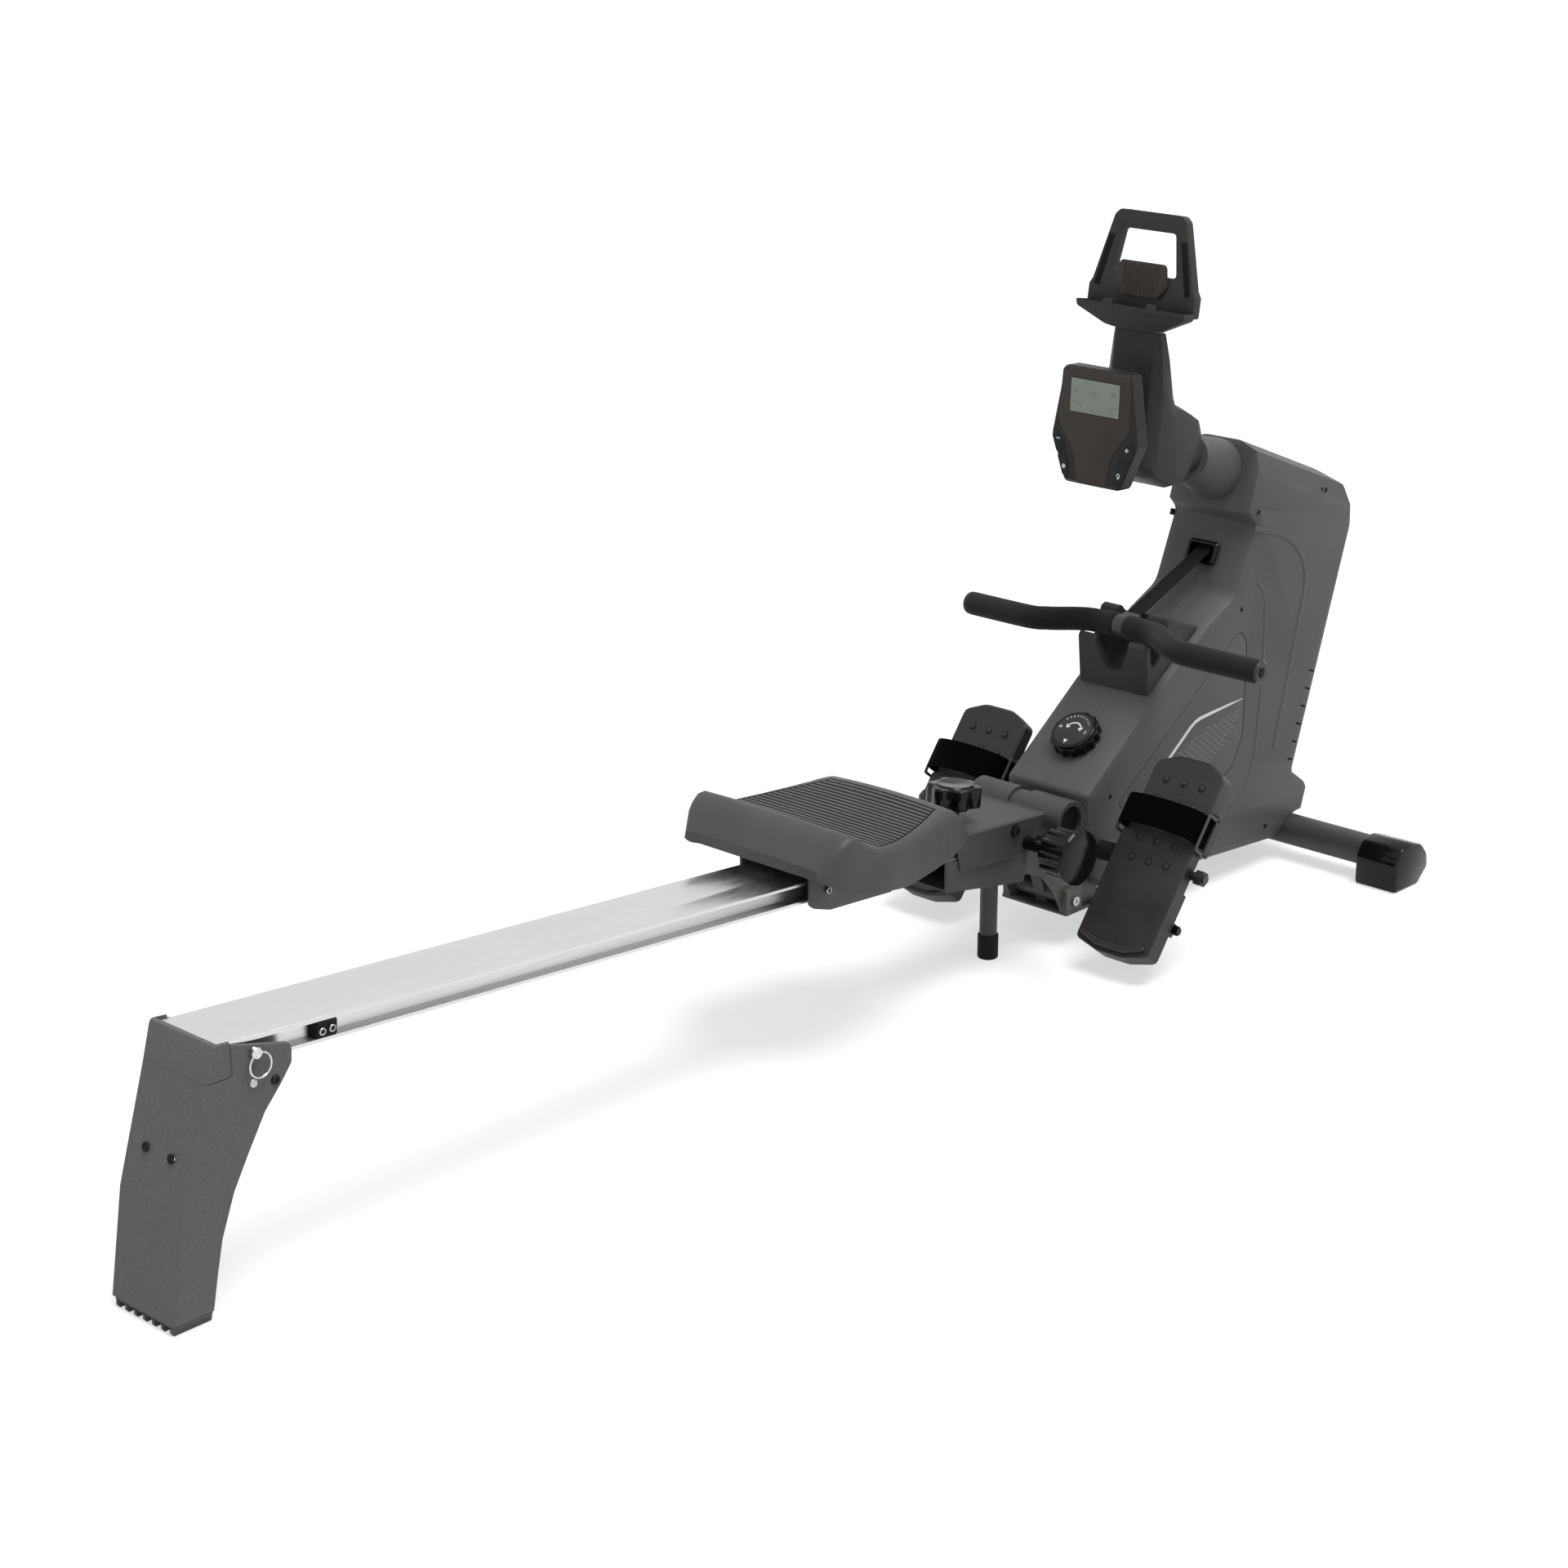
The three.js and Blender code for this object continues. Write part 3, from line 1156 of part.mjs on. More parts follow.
function key(name, corners, s) {
  const sided = corners.map(([y, z, radius]) => [s * y, z, radius]);
  const end = CONSOLE_FACE + 5 - KEY_TRAVEL - GAP;
  const cap = slab("x", sided, CONSOLE_FACE - KEY_PROUD, end, 0.8, { high: false });
  piece(name, cap, GLOSS_BLACK, consoleFrame);
}

// ---------------------------------------------------------------- tablet holder
const HOLDER_LEAN = 8.9; // degrees
const holderFrame = new THREE.Group();
holderFrame.position.set(HOLDER_PIVOT_X, 0, HOLDER_PIVOT_Z);
holderFrame.rotation.y = THREE.MathUtils.degToRad(HOLDER_LEAN);
machine.add(holderFrame);

function tabletHolder() {
  const half = [
    [48, 141, 8],
    [56, 134, 8],
    [67, 94, 10],
    [79, 50, 6],
    [84, 42, 4],
    [84, 12, 8],
    [46, 8, 8],
    [37, -2, 6],
  ];
  const other = half.map(([y, z, radius]) => [-y, z, radius]).reverse();
  const plate = slab("x", [...half, ...other], -4, 10, 3);
  const opening = slab("x", [[45, 117, 8], [52, 60, 8], [-52, 60, 8], [-45, 117, 8]], -20, 20, 0, {
    low: false,
    high: false,
  });
  const tray = [
    [-24, 33, 3],
    [-27, 29, 3],
    [-26, 17, 5],
    [-18, 12, 5],
    [4, 12],
    [4, 32],
    [-16, 27, 5],
    [-20, 33, 2],
  ];
  const sill = slab("y", tray, -88, 88, 3);
  const section = [[-26, 16], [-14, -6, 3], [-9.6, -6], [-9.6, 6], [-18, 18]];
  const front = [[85, 19, 6], [41, -7, 8], [-41, -7, 8], [-85, 19, 6]];
  const apron = common(prism("y", outline(section), -90, 90), prism("x", outline(front), -40, 20));
  const clear = slab("y", [[-9, -14], [9, -14], [9, 9, 8], [-9, 9, 8]], -14.4, 14.4, 0, {
    low: false,
    high: false,
  });
  const knuckles = [1, -1].map((s) => {
    const [y0, y1] = [s * 14.4, s * 36].sort((a, b) => a - b);
    return crossBar(0, 0, y0, y1, KNUCKLE_RADIUS, 18);
  });
  const bore = crossBar(0, 0, -34.4, 34.4, PIN_RADIUS + RUNNING, 14);
  const solid = cut(join(cut(plate, opening, clear), sill, apron, ...knuckles), bore, clear);
  piece("tablet_frame", solid, DARK_PLASTIC, holderFrame);
  const pad = slab("x", [[-35, 34, 7], [35, 34, 7], [39, 78, 8], [-39, 78, 8]], -10, -4 - GAP, 3, { high: false });
  piece("tablet_pad", pad, RUBBER, holderFrame);
}

// ---------------------------------------------------------------- handle
const handleFrame = new THREE.Group();
handleFrame.position.set(HANDLE_X, 0, HANDLE_Z);
machine.add(handleFrame);

// The bar's centre line, as [x, y, z] from the middle outwards.
const BAR_LINE = [
  [0, 0, 0],
  [1, 24, -1],
  [2, 38, -2],
  [-4, 60, -2],
  [-30, 104, -4],
  [-36, 122, -5],
  [-32, 170, -7],
  [-24, 240, -10],
];

// A round skin along a line that runs mostly along y; each ring lies in a plane of constant y.
function skinAlong(line, radius, sides = 14) {
  const rings = line.map(([x, y, z], i) => {
    const before = line[Math.max(i - 1, 0)];
    const after = line[Math.min(i + 1, line.length - 1)];
    const stretch = Math.hypot(1, (after[0] - before[0]) / (after[1] - before[1]));
    return Array.from({ length: sides }, (_, k) => {
      const angle = (k / sides) * Math.PI * 2;
      return [x + radius * stretch * Math.sin(angle), y, z + radius * Math.cos(angle)];
    });
  });
  return loft(rings);
}

// The bar's line resampled between two places along y.
function barLine(from, to, pieces) {
  const points = BAR_LINE.map(([x, y, z]) => new THREE.Vector3(x, y, z));
  const curve = new THREE.CatmullRomCurve3(points, false, "centripetal");
  const samples = curve.getPoints(200);
  return Array.from({ length: pieces + 1 }, (_, i) => {
    const y = from + ((to - from) * i) / pieces;
    const found = samples.findIndex((point) => point.y >= y - 1e-6);
    const at = found < 1 ? (found < 0 ? samples.length - 1 : 1) : found;
    const next = samples[at];
    const last = samples[at - 1];
    const part = (y - last.y) / (next.y - last.y);
    return [last.x + (next.x - last.x) * part, y, last.z + (next.z - last.z) * part];
  });
}

function handle() {
  const end = HANDLE_HALF_LENGTH - 0.5;
  const half = skinAlong(barLine(0, end - 3, 8), BAR_RADIUS, 10);
  const plug = skinAlong(barLine(end - 4, end, 1), GRIP_RADIUS - 2);
  const oneSide = join(half, plug);
  const sleeve = skinAlong(barLine(CLAMP_HALF_WIDTH + GAP, end - 4 - GAP, 8), GRIP_RADIUS);
  const through = skinAlong(barLine(0, end, 8), BAR_RADIUS + 0.6, 10);
  piece("handle_bar", join(oneSide, mirrored(oneSide)), STEEL, handleFrame);
  const grip = cut(sleeve, through);
  piece("grip_left", grip, FOAM, handleFrame);
  piece("grip_right", mirrored(grip), FOAM, handleFrame);
}

function beltClamp() {
  const collar = crossBar(0, 0, -CLAMP_HALF_WIDTH, CLAMP_HALF_WIDTH, 15, 24);
  const tongue = slab("z", [[8, -13, 2], [26, -13, 4], [26, 13, 4], [8, 13, 2]], -4.5, 4.5, 2);
  tongue.rotateY(-rise);
  const slot = block(12, 40, -FAR, FAR, -BELT_THICKNESS / 2 - GAP, BELT_THICKNESS / 2 + GAP);
  slot.rotateY(-rise);
  const bore = skinAlong(barLine(0, HANDLE_HALF_LENGTH - 0.5, 8), BAR_RADIUS + GAP, 10);
  const solid = cut(join(collar, tongue), bore, mirrored(asSolid(bore)), slot);
  piece("belt_clamp", solid, GLOSS_BLACK, handleFrame);
}

// The flat belt from the clamp to where it meets the spool.
function pullBelt() {
  const start = 13;
  const reach = Math.hypot(SPOOL_X - HANDLE_X, SPOOL_Z - HANDLE_Z);
  const lift = Math.atan2(SPOOL_Z - HANDLE_Z, SPOOL_X - HANDLE_X);
  const end = reach * Math.cos(rise - lift);
  const strap = block(start, end, -BELT_WIDTH / 2, BELT_WIDTH / 2, -BELT_THICKNESS / 2, BELT_THICKNESS / 2);
  piece("pull_belt", strap.rotateY(-rise), WEBBING, handleFrame);
}

// ---------------------------------------------------------------- seat
// Stations from rear to front: [x, top in the middle, top at the side, half width, underside].
const SEAT = [
  [-168, 270, 268, 108, 256],
  [-153, 288, 286, 119, 246],
  [-135, 302, 300, 125, 238],
  [-122, 305, 303, 126, 234],
  [-104, 292, 290, 128, 230],
  [-84, 281, 279, 130, 226],
  [-60, 277, 276, 130, 221],
  [-23, 276, 275, 124, 215],
  [40, 278, 276, 111, 214],
  [68, 281, 277, 105, 215],
  [85, 279, 275, 102, 217],
  [104, 268, 264, 98, 222],
  [120, 250, 247, 93, 227],
  [130, 238, 236, 88, 232],
];
const SEAT_SKIRT = 9; // thickness of the rim round the hollow underside
const SEAT_CEILING = 241.9;

function seatPan() {
  const rings = SEAT.map(([x, middle, side, half, under]) => {
    const low = Math.min(under + 7, side - 2);
    const high = Math.max(side - 10, low + 0.5);
    const points = [
      [half - 14, under],
      [half, low],
      [half + 1, high],
      [half - 7, side],
      [half * 0.6, side + (middle - side) * 0.7],
      [0, middle],
    ];
    const left = points.slice(0, 5).map(([y, z]) => [-y, z]).reverse();
    return [...points, ...left].map(([y, z]) => [x, y, z]);
  });
  const step = block(-147, 40, -75, 75, SEAT_CEILING, 250);
  const hollow = SEAT.slice(2, -2).map(([x, , , half]) => {
    const y = half - SEAT_SKIRT;
    return [[y, 200], [y, SEAT_CEILING], [-y, SEAT_CEILING], [-y, 200]].map(([b, z]) => [x, b, z]);
  });
  const room = join(loft(hollow), block(-FAR, 100, -60, 60, 200, SEAT_CEILING));
  piece("seat_pan", join(cut(loft(rings), room), step), SEAT_PLASTIC, machine);
}

const railPoint = (u, w) => {
  const [x, , z] = toMachine(railFrame, [u, 0, w]);
  return [x, z];
};
const ROLLER_W = -14;
const ROLLERS = [ROLLER_REAR_U, ROLLER_FRONT_U];
const AXLE_STUB = 4;

function seatCarriage() {
  const top = 241.6;
  const side = [
    [CARRIAGE_REAR, top],
    [CARRIAGE_REAR, 201, 5],
    [CARRIAGE_REAR + 8, 195, 6],
    [CARRIAGE_REAR + 36, 186, 8],
    [CARRIAGE_FRONT + 2, 177.5, 6],
    [CARRIAGE_FRONT + 4, top],
  ];
  const inner = 54;
  const outer = inner + CARRIAGE_PLATE;
  const shell = prism("y", outline(side), -outer, outer);
  const room = block(-FAR, FAR, -inner, inner, 100, top - CARRIAGE_PLATE);
  const stubs = ROLLERS.flatMap((u) => {
    const [x, z] = railPoint(u, ROLLER_W);
    return [
      crossBar(x, z, 37, outer + 4, AXLE_STUB, 12),
      crossBar(x, z, -outer - 4, -37, AXLE_STUB, 12),
      crossBar(x, z, outer - 1, outer + 4, 7, 6),
      crossBar(x, z, -outer - 4, 1 - outer, 7, 6),
    ];
  });
  piece("seat_carriage", join(cut(shell, room), ...stubs), FRAME_PAINT, machine);
}

function roller(name, u, s) {
  const [x, z] = railPoint(u, ROLLER_W);
  const [y0, y1] = [s * 36, s * 46].sort((a, b) => a - b);
  const wheel = crossBar(x, z, y0, y1, ROLLER_RADIUS, 24);
  const bore = crossBar(x, z, -FAR, FAR, AXLE_STUB + GAP, 16);
  piece(name, cut(wheel, bore), RUBBER, machine);
}

// ---------------------------------------------------------------- rear foot
const FOOT_BASE = 12.3;
const FOOT_REAR = [
  [-1062, FOOT_BASE],
  [-1043, 130],
  [-1004, 258],
];
const CAP_LINE = -973;

function rearFoot() {
  const side = [
    [-896, 272, 10],
    [CAP_LINE, 293],
    [CAP_LINE, 258],
    FOOT_REAR[2],
    [...FOOT_REAR[1], 60],
    FOOT_REAR[0],
    [-1012, FOOT_BASE],
    [-1004, 52, 20],
    [-996, 87, 20],
    [-978, 133, 20],
    [-959, 166, 20],
    [-934, 207, 20],
    [-912, 231, 10],
    [-897, 250, 8],
  ];
  const room = [
    [FOOT_REAR[0][0] + 3.6, FOOT_BASE + 4],
    [FOOT_REAR[1][0] + 3.6, 130, 60],
    [FOOT_REAR[2][0] + 3.6, 258],
    [-986.2, 330],
    [-800, 330],
    [-800, FOOT_BASE + 4],
  ];
  const inner = FOOT_HALF_WIDTH - FOOT_WALL;
  const shell = slab("y", side, -FOOT_HALF_WIDTH, FOOT_HALF_WIDTH, 1.2);
  const bores = [
    crossBar(FOOT_PIVOT_X, FOOT_PIVOT_Z, -FAR, FAR, 5 + RUNNING, 16),
    crossBar(FOOT_PIN_X, FOOT_PIN_Z, -FAR, FAR, 4 + RUNNING, 16),
    bar([-1060, 21, 178], [-1000, 21, 178], 4, 12),
    bar([-1060, -21, 178], [-1000, -21, 178], 4, 12),
  ];
  piece("rear_foot", cut(shell, prism("y", outline(room), -inner, inner), ...bores), FOOT_PLASTIC, machine);
}

function footCap() {
  const side = [
    [CAP_LINE - GAP, 258 + GAP],
    [CAP_LINE - GAP, 296],
    [-993, 298, 5],
    [-1004, 258 + GAP],
  ];
  const room = [
    [-960, 240],
    [-1000.4, 240],
    [-1000.4, 258],
    [-987, 299],
    [-987, 310],
    [-960, 310],
  ];
  const inner = FOOT_HALF_WIDTH - FOOT_WALL;
  const shell = slab("y", side, -FOOT_HALF_WIDTH, FOOT_HALF_WIDTH, 1.2);
  piece("foot_cap", cut(shell, prism("y", outline(room), -inner, inner)), FOOT_PLASTIC, machine);
}

function footSole() {
  const [rear, front] = [-1062, -1010];
  const pad = slab(
    "z",
    [[rear, -52, 4], [front, -52, 4], [front, 52, 4], [rear, 52, 4]],
    3,
    FOOT_BASE - GAP,
    1.5,
    { low: false },
  );
  const pitch = (front - rear) / 7;
  const ribs = Array.from({ length: 7 }, (_, i) => {
    const x = rear + pitch * (i + 0.5);
    return block(x - 2, x + 2, -48, 48, 0, 4);
  });
  piece("foot_sole", join(pad, ...ribs), RUBBER, machine);
}

function footHingeBracket() {
  const [u, , w] = fromMachine(railFrame, [FOOT_PIVOT_X, 0, FOOT_PIVOT_Z]);
  const top = -RAIL_HEIGHT - GAP;
  const lug = [[u - 26, top], [u + 26, top], [u + 11, w - 9, 8], [u - 11, w - 9, 8]];
  const plate = block(u - 26, u + 26, -45, 45, top - 3.2, top);
  const lugs = [prism("y", outline(lug), 41, 45), prism("y", outline(lug), -45, -41)];
  const pivot = crossBar(u, w, -57, 57, 5);
  const heads = [crossBar(u, w, FOOT_HALF_WIDTH + GAP, 57.5, 8.5, 20), crossBar(u, w, -57.5, -FOOT_HALF_WIDTH - GAP, 8.5, 20)];
  piece("foot_hinge_bracket", join(plate, ...lugs, pivot, ...heads), FRAME_PAINT, railFrame);
}

function ballLockPin() {
  const face = FOOT_HALF_WIDTH + GAP;
  const rod = crossBar(FOOT_PIN_X, FOOT_PIN_Z, -face - 3, -36, 4);
  const head = crossBar(FOOT_PIN_X, FOOT_PIN_Z, -face - 7, -face, 7, 20);
  const ring = new THREE.TorusGeometry(12, 1.6, 6, 18).rotateX(Math.PI / 2);
  ring.translate(FOOT_PIN_X + 5, -face - 5, FOOT_PIN_Z - 13.5);
  piece("ball_lock_pin", join(rod, head, ring), STEEL, machine);
}

// ---------------------------------------------------------------- pedals
const pedalFrame = new THREE.Group();
pedalFrame.position.set(PEDAL_X, 0, PEDAL_Z);
pedalFrame.rotation.y = THREE.MathUtils.degToRad(90 - PEDAL_TILT);
machine.add(pedalFrame);

const TOE_HALF_WIDTH = PEDAL_HALF_WIDTH - 3.3;
const TOE_BACK = 2;
const HEEL_TOP = 42;
const HEEL_END = -134;
const BUMP_PITCH_Y = 27.8;
const BUMP_RADIUS = 4.2;
const BUTTON_X = 8.5;
const BUTTON_Z = -72.5;
const BUTTON_RADIUS = 6.5;

// Three round studs in a row on a face.
function studs(face, z) {
  return [-1, 0, 1].map((k) =>
    bar([face + 1, PEDAL_CENTRE_Y + k * BUMP_PITCH_Y, z], [face - 1.6, PEDAL_CENTRE_Y + k * BUMP_PITCH_Y, z],
      BUMP_RADIUS, 8, BUMP_RADIUS - 1.4),
  );
}

function toePlate() {
  const c = PEDAL_CENTRE_Y;
  const h = TOE_HALF_WIDTH;
  const shape = [
    [c - h, -40, 4],
    [c + h, -40, 4],
    [c + h, 131, 10],
    [c + 24, 145, 30],
    [c - 24, 145, 30],
    [c - h, 131, 10],
  ];
  const body = slab("x", shape, -TOE_TOP, TOE_BACK, 2.5);
  const pocket = prism("x", outline(inset(shape, 3)), -TOE_TOP + 4, TOE_BACK + 1);
  const bearing = block(-TOE_TOP + 2, 9, c - 44, c + 44, -11, 11);
  const bore = crossBar(0, 0, -FAR, FAR, PEDAL_AXLE_RADIUS + RUNNING, 20);
  const guides = [1, -1].flatMap((s) => {
    const [y0, y1] = [c + s * (h - 1), c + s * 64].sort((a, b) => a - b);
    const [r0, r1] = [c + s * 61, c + s * 64].sort((a, b) => a - b);
    return [
      block(-12, 0, y0, y1, 26, 30),
      block(-12, 0, y0, y1, 79, 83),
      block(-12, 0, r0, r1, 26, 83),
    ];
  });
  const solid = join(cut(body, pocket), bearing, ...studs(-TOE_TOP, 81), ...studs(-TOE_TOP, 109), ...guides);
  return cut(solid, bore);
}

function heelPlate() {
  const c = PEDAL_CENTRE_Y;
  const h = PEDAL_HALF_WIDTH;
  const top = -TOE_TOP - 0.3;
  const plate = [
    [c - h, HEEL_END + 10, 8],
    [c - 20, HEEL_END, 30],
    [c + 20, HEEL_END, 30],
    [c + h, HEEL_END + 10, 8],
    [c + h, 32, 6],
    [c + 26, HEEL_TOP, 30],
    [c - 26, HEEL_TOP, 30],
    [c - h, 32, 6],
  ];
  const face = slab("x", plate, top - HEEL_FLOOR, top, 1.2, { high: false });
  const tub = [
    [c - h, HEEL_END + 10, 8],
    [c - 20, HEEL_END, 30],
    [c + 20, HEEL_END, 30],
    [c + h, HEEL_END + 10, 8],
    [c + h, -8],
    [c - h, -8],
  ];
  const skirt = slab("x", tub, top - HEEL_FLOOR, TOE_BACK, 1.2);
  const room = block(top, TOE_BACK + 5, c - h + 2.6, c + h - 2.6, HEEL_END + 17, 5);
  const rounded = (y, z) => [y, z, 10];
  const lipShape = [
    rounded(c - h + 7, HEEL_END + 16),
    rounded(c - 22, HEEL_END + 6),
    rounded(c + 22, HEEL_END + 6),
    rounded(c + h - 7, HEEL_END + 16),
    [c + h - 8, HEEL_END + 22, 3],
    [c + 22, HEEL_END + 14, 10],
    [c - 22, HEEL_END + 14, 10],
    [c - h + 8, HEEL_END + 22, 3],
  ];
  const lip = slab("x", lipShape, top - HEEL_FLOOR - 6, top - 1, 2, { high: false });
  const boss = block(top - 1, BUTTON_X + 9, c + 26, c + h - 6, BUTTON_Z - 9, BUTTON_Z + 9);
  const guide = crossBar(BUTTON_X, BUTTON_Z, c + 20, FAR, BUTTON_RADIUS + RUNNING, 16);
  const axleSlot = block(-7.5, TOE_BACK + 5, c - FAR, c + FAR, -28, 6);
  const solid = join(cut(skirt, room), face, lip, boss, ...studs(top - HEEL_FLOOR, 24.6), ...studs(top - HEEL_FLOOR, -3.2));
  return cut(solid, guide, axleSlot);
}

// The band over the foot: an arch whose ends run down between the plate and the side guides.
function footStrap() {
  const c = PEDAL_CENTRE_Y;
  const reach = TOE_HALF_WIDTH + 5.4;
  const arch = (extra) => {
    const points = [];
    for (let k = 0; k <= 12; k++) {
      const angle = (Math.PI * k) / 12;
      points.push([-TOE_TOP - 6 - (30 + extra) * Math.sin(angle) ** 0.7, c - (reach + extra) * Math.cos(angle)]);
    }
    return points;
  };
  const outside = arch(1);
  const inside = arch(-1).reverse();
  const foot = (y) => [-4, y];
  const band = [foot(c - reach - 1), ...outside, foot(c + reach + 1), foot(c + reach - 1), ...inside, foot(c - reach + 1)];
  return prism("z", outline(band), 34, 74);
}

function heelButton() {
  const c = PEDAL_CENTRE_Y;
  const stem = crossBar(BUTTON_X, BUTTON_Z, c + 27, c + 62, BUTTON_RADIUS, 16);
  const cap = crossBar(BUTTON_X, BUTTON_Z, c + 58, c + 64, BUTTON_RADIUS - 1.5, 16);
  return join(stem, cap);
}

function pedals() {
  const parts = { toe_plate: toePlate(), heel_plate: heelPlate(), foot_strap: footStrap(), heel_button: heelButton() };
  const paints = { toe_plate: DARK_PLASTIC, heel_plate: DARK_PLASTIC, foot_strap: WEBBING, heel_button: GLOSS_BLACK };
  for (const [name, solid] of Object.entries(parts)) {
    piece(`${name}_left`, onSide(1, solid), paints[name], pedalFrame);
    piece(`${name}_right`, onSide(-1, solid), paints[name], pedalFrame);
  }
}

function pedalAxle() {
  const outer = PEDAL_CENTRE_Y + PEDAL_HALF_WIDTH + 4;
  const rod = crossBar(PEDAL_X, PEDAL_Z, -outer - 14, outer + 14, PEDAL_AXLE_RADIUS, 20);
  const nuts = [1, -1].map((s) => {
    const [y0, y1] = [s * outer, s * (outer + 11)].sort((a, b) => a - b);
    return crossBar(PEDAL_X, PEDAL_Z, y0, y1, 10.5, 6);
  });
  piece("pedal_axle", join(rod, ...nuts), STEEL, machine);
  const bore = PEDAL_AXLE_RADIUS + GAP;
  const profile = [[bore, 60.3], [10.5, 60.3], [10.5, 70.5], [13, 70.5], [13, 103.6], [bore, 103.6], [bore, 60.3]];
  for (const [name, s] of [["pedal_spacer_left", 1], ["pedal_spacer_right", -1]]) {
    piece(name, turned(profile, [PEDAL_X, 0, PEDAL_Z], [0, s, 0], 20), RUBBER, machine);
  }
}

rail();
railStop("rail_stop_left", 1);
railStop("rail_stop_right", -1);
railBracket();
hingeRod();
railClampKnob();
hingeLockKnob();
frontChannel();
postFoot();
mainFrame();
crossPin();
stabiliser();
housing();
beltBezel();
resistanceKnob();
magnetYoke();
flywheel();
beltSpool();
driveBelt();
mastShell();
mastTube();
consoleBody();
key("key_upper_left", UPPER_KEY, 1);
key("key_lower_left", LOWER_KEY, 1);
key("key_upper_right", UPPER_KEY, -1);
key("key_lower_right", LOWER_KEY, -1);
tabletHolder();
handle();
beltClamp();
pullBelt();
handleRest();
seatPan();
seatCarriage();
roller("roller_rear_left", ROLLER_REAR_U, 1);
roller("roller_rear_right", ROLLER_REAR_U, -1);
roller("roller_front_left", ROLLER_FRONT_U, 1);
roller("roller_front_right", ROLLER_FRONT_U, -1);
rearFoot();
footCap();
footSole();
footHingeBracket();
ballLockPin();
pedals();
pedalAxle();

// The whole machine, moved so that its box stands centred on the origin.
const part = new THREE.Group();
part.add(machine);
part.updateMatrixWorld(true);
const box = new THREE.Box3().setFromObject(part, true);
machine.position.set(-(box.min.x + box.max.x) / 2, -(box.min.y + box.max.y) / 2, -box.min.z);

export default part;
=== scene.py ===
# %% [markdown]
# # A folding magnetic rowing machine
# The machine is a long aluminium rail with a sliding seat, a moulded housing with a flywheel inside, two
# footplates, and a handle on a belt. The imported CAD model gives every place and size. This script copies or
# remodels each visible piece with clean edges, and gives it its real material.

import bmesh
import bpy
from math import atan2, cos, degrees, pi, radians, sin, tan
from mathutils import Matrix, Vector


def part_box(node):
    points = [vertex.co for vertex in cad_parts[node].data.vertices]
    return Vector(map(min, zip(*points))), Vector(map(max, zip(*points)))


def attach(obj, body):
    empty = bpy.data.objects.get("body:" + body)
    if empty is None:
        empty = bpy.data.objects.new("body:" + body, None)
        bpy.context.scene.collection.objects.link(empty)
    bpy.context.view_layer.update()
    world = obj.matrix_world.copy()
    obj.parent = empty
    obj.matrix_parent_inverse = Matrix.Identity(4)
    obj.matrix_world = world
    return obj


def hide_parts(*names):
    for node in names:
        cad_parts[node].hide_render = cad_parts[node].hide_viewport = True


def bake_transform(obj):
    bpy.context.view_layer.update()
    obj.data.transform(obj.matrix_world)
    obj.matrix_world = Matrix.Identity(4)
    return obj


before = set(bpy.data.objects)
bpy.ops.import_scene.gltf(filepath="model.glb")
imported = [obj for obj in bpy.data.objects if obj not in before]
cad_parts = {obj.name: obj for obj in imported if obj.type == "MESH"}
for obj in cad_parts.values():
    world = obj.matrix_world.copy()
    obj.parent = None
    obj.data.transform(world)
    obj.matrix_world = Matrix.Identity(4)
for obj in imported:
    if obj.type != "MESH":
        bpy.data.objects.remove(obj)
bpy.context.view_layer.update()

# %% [markdown]
# ## Places
# The machine was drawn in millimetres, in frames that tilt with its parts: the rail falls, the console leans
# back, and the footplates stand steeply. A piece is modelled upright in its own frame, in millimetres, and
# one matrix then puts it in its place in metres. The post under the front channel fixes where the origin is.

# %% Frames of the tilted parts
POST_X = 280
RAIL_FALL = 4.37
FOOTPLATE_RISE = 52.6
BELT_RISE = 21.2
DECK_NORMAL = (0.5872, 0.8095)
HANDLE_AT = (546, 392)
low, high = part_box("post_foot")
ORIGIN_X = (low[0] + high[0]) / 2 - POST_X / 1000


def tilted(x, z, angle=0):
    """From millimetres in a part's own frame, turned about the y axis, to metres in the machine."""
    place = Matrix.Translation((ORIGIN_X + x / 1000, 0, z / 1000))
    return place @ Matrix.Rotation(radians(angle), 4, "Y") @ Matrix.Scale(0.001, 4)


MACHINE = tilted(0, 0)
RAIL = tilted(0, 219.4, RAIL_FALL)
CONSOLE = tilted(519, 660, 2.3)
HOLDER = tilted(559, 792, 8.9)
HANDLE = tilted(*HANDLE_AT)
BELT = tilted(*HANDLE_AT, -BELT_RISE)
PEDAL = tilted(423, 128, 90 - FOOTPLATE_RISE)
KNOB = tilted(458, 255.9, -degrees(atan2(*DECK_NORMAL)))
print("origin at x =", round(ORIGIN_X, 4))

# %% [markdown]
# ## Camera
# The view is a three-quarter one from behind and to the right of the rower's seat, through a long lens. The
# camera is aimed with its own axes: a turn about z for the heading and a turn about x for the pitch.

# %% Camera
EYE = (ORIGIN_X - 2.745, -2.451, 1.579)
HEADING = 42.92
PITCH = -19.05
SENSOR = 36
LENS = 73.82


def placed(name, data):
    """An object with some data, linked to the scene."""
    made = bpy.data.objects.new(name, data)
    bpy.context.scene.collection.objects.link(made)
    return made


camera_data = bpy.data.cameras.new("camera")
camera_data.sensor_width = SENSOR
camera_data.lens = LENS
camera = placed("camera", camera_data)
camera.location = EYE
camera.rotation_euler = (radians(90 + PITCH), 0, radians(HEADING - 90))
bpy.context.scene.camera = camera
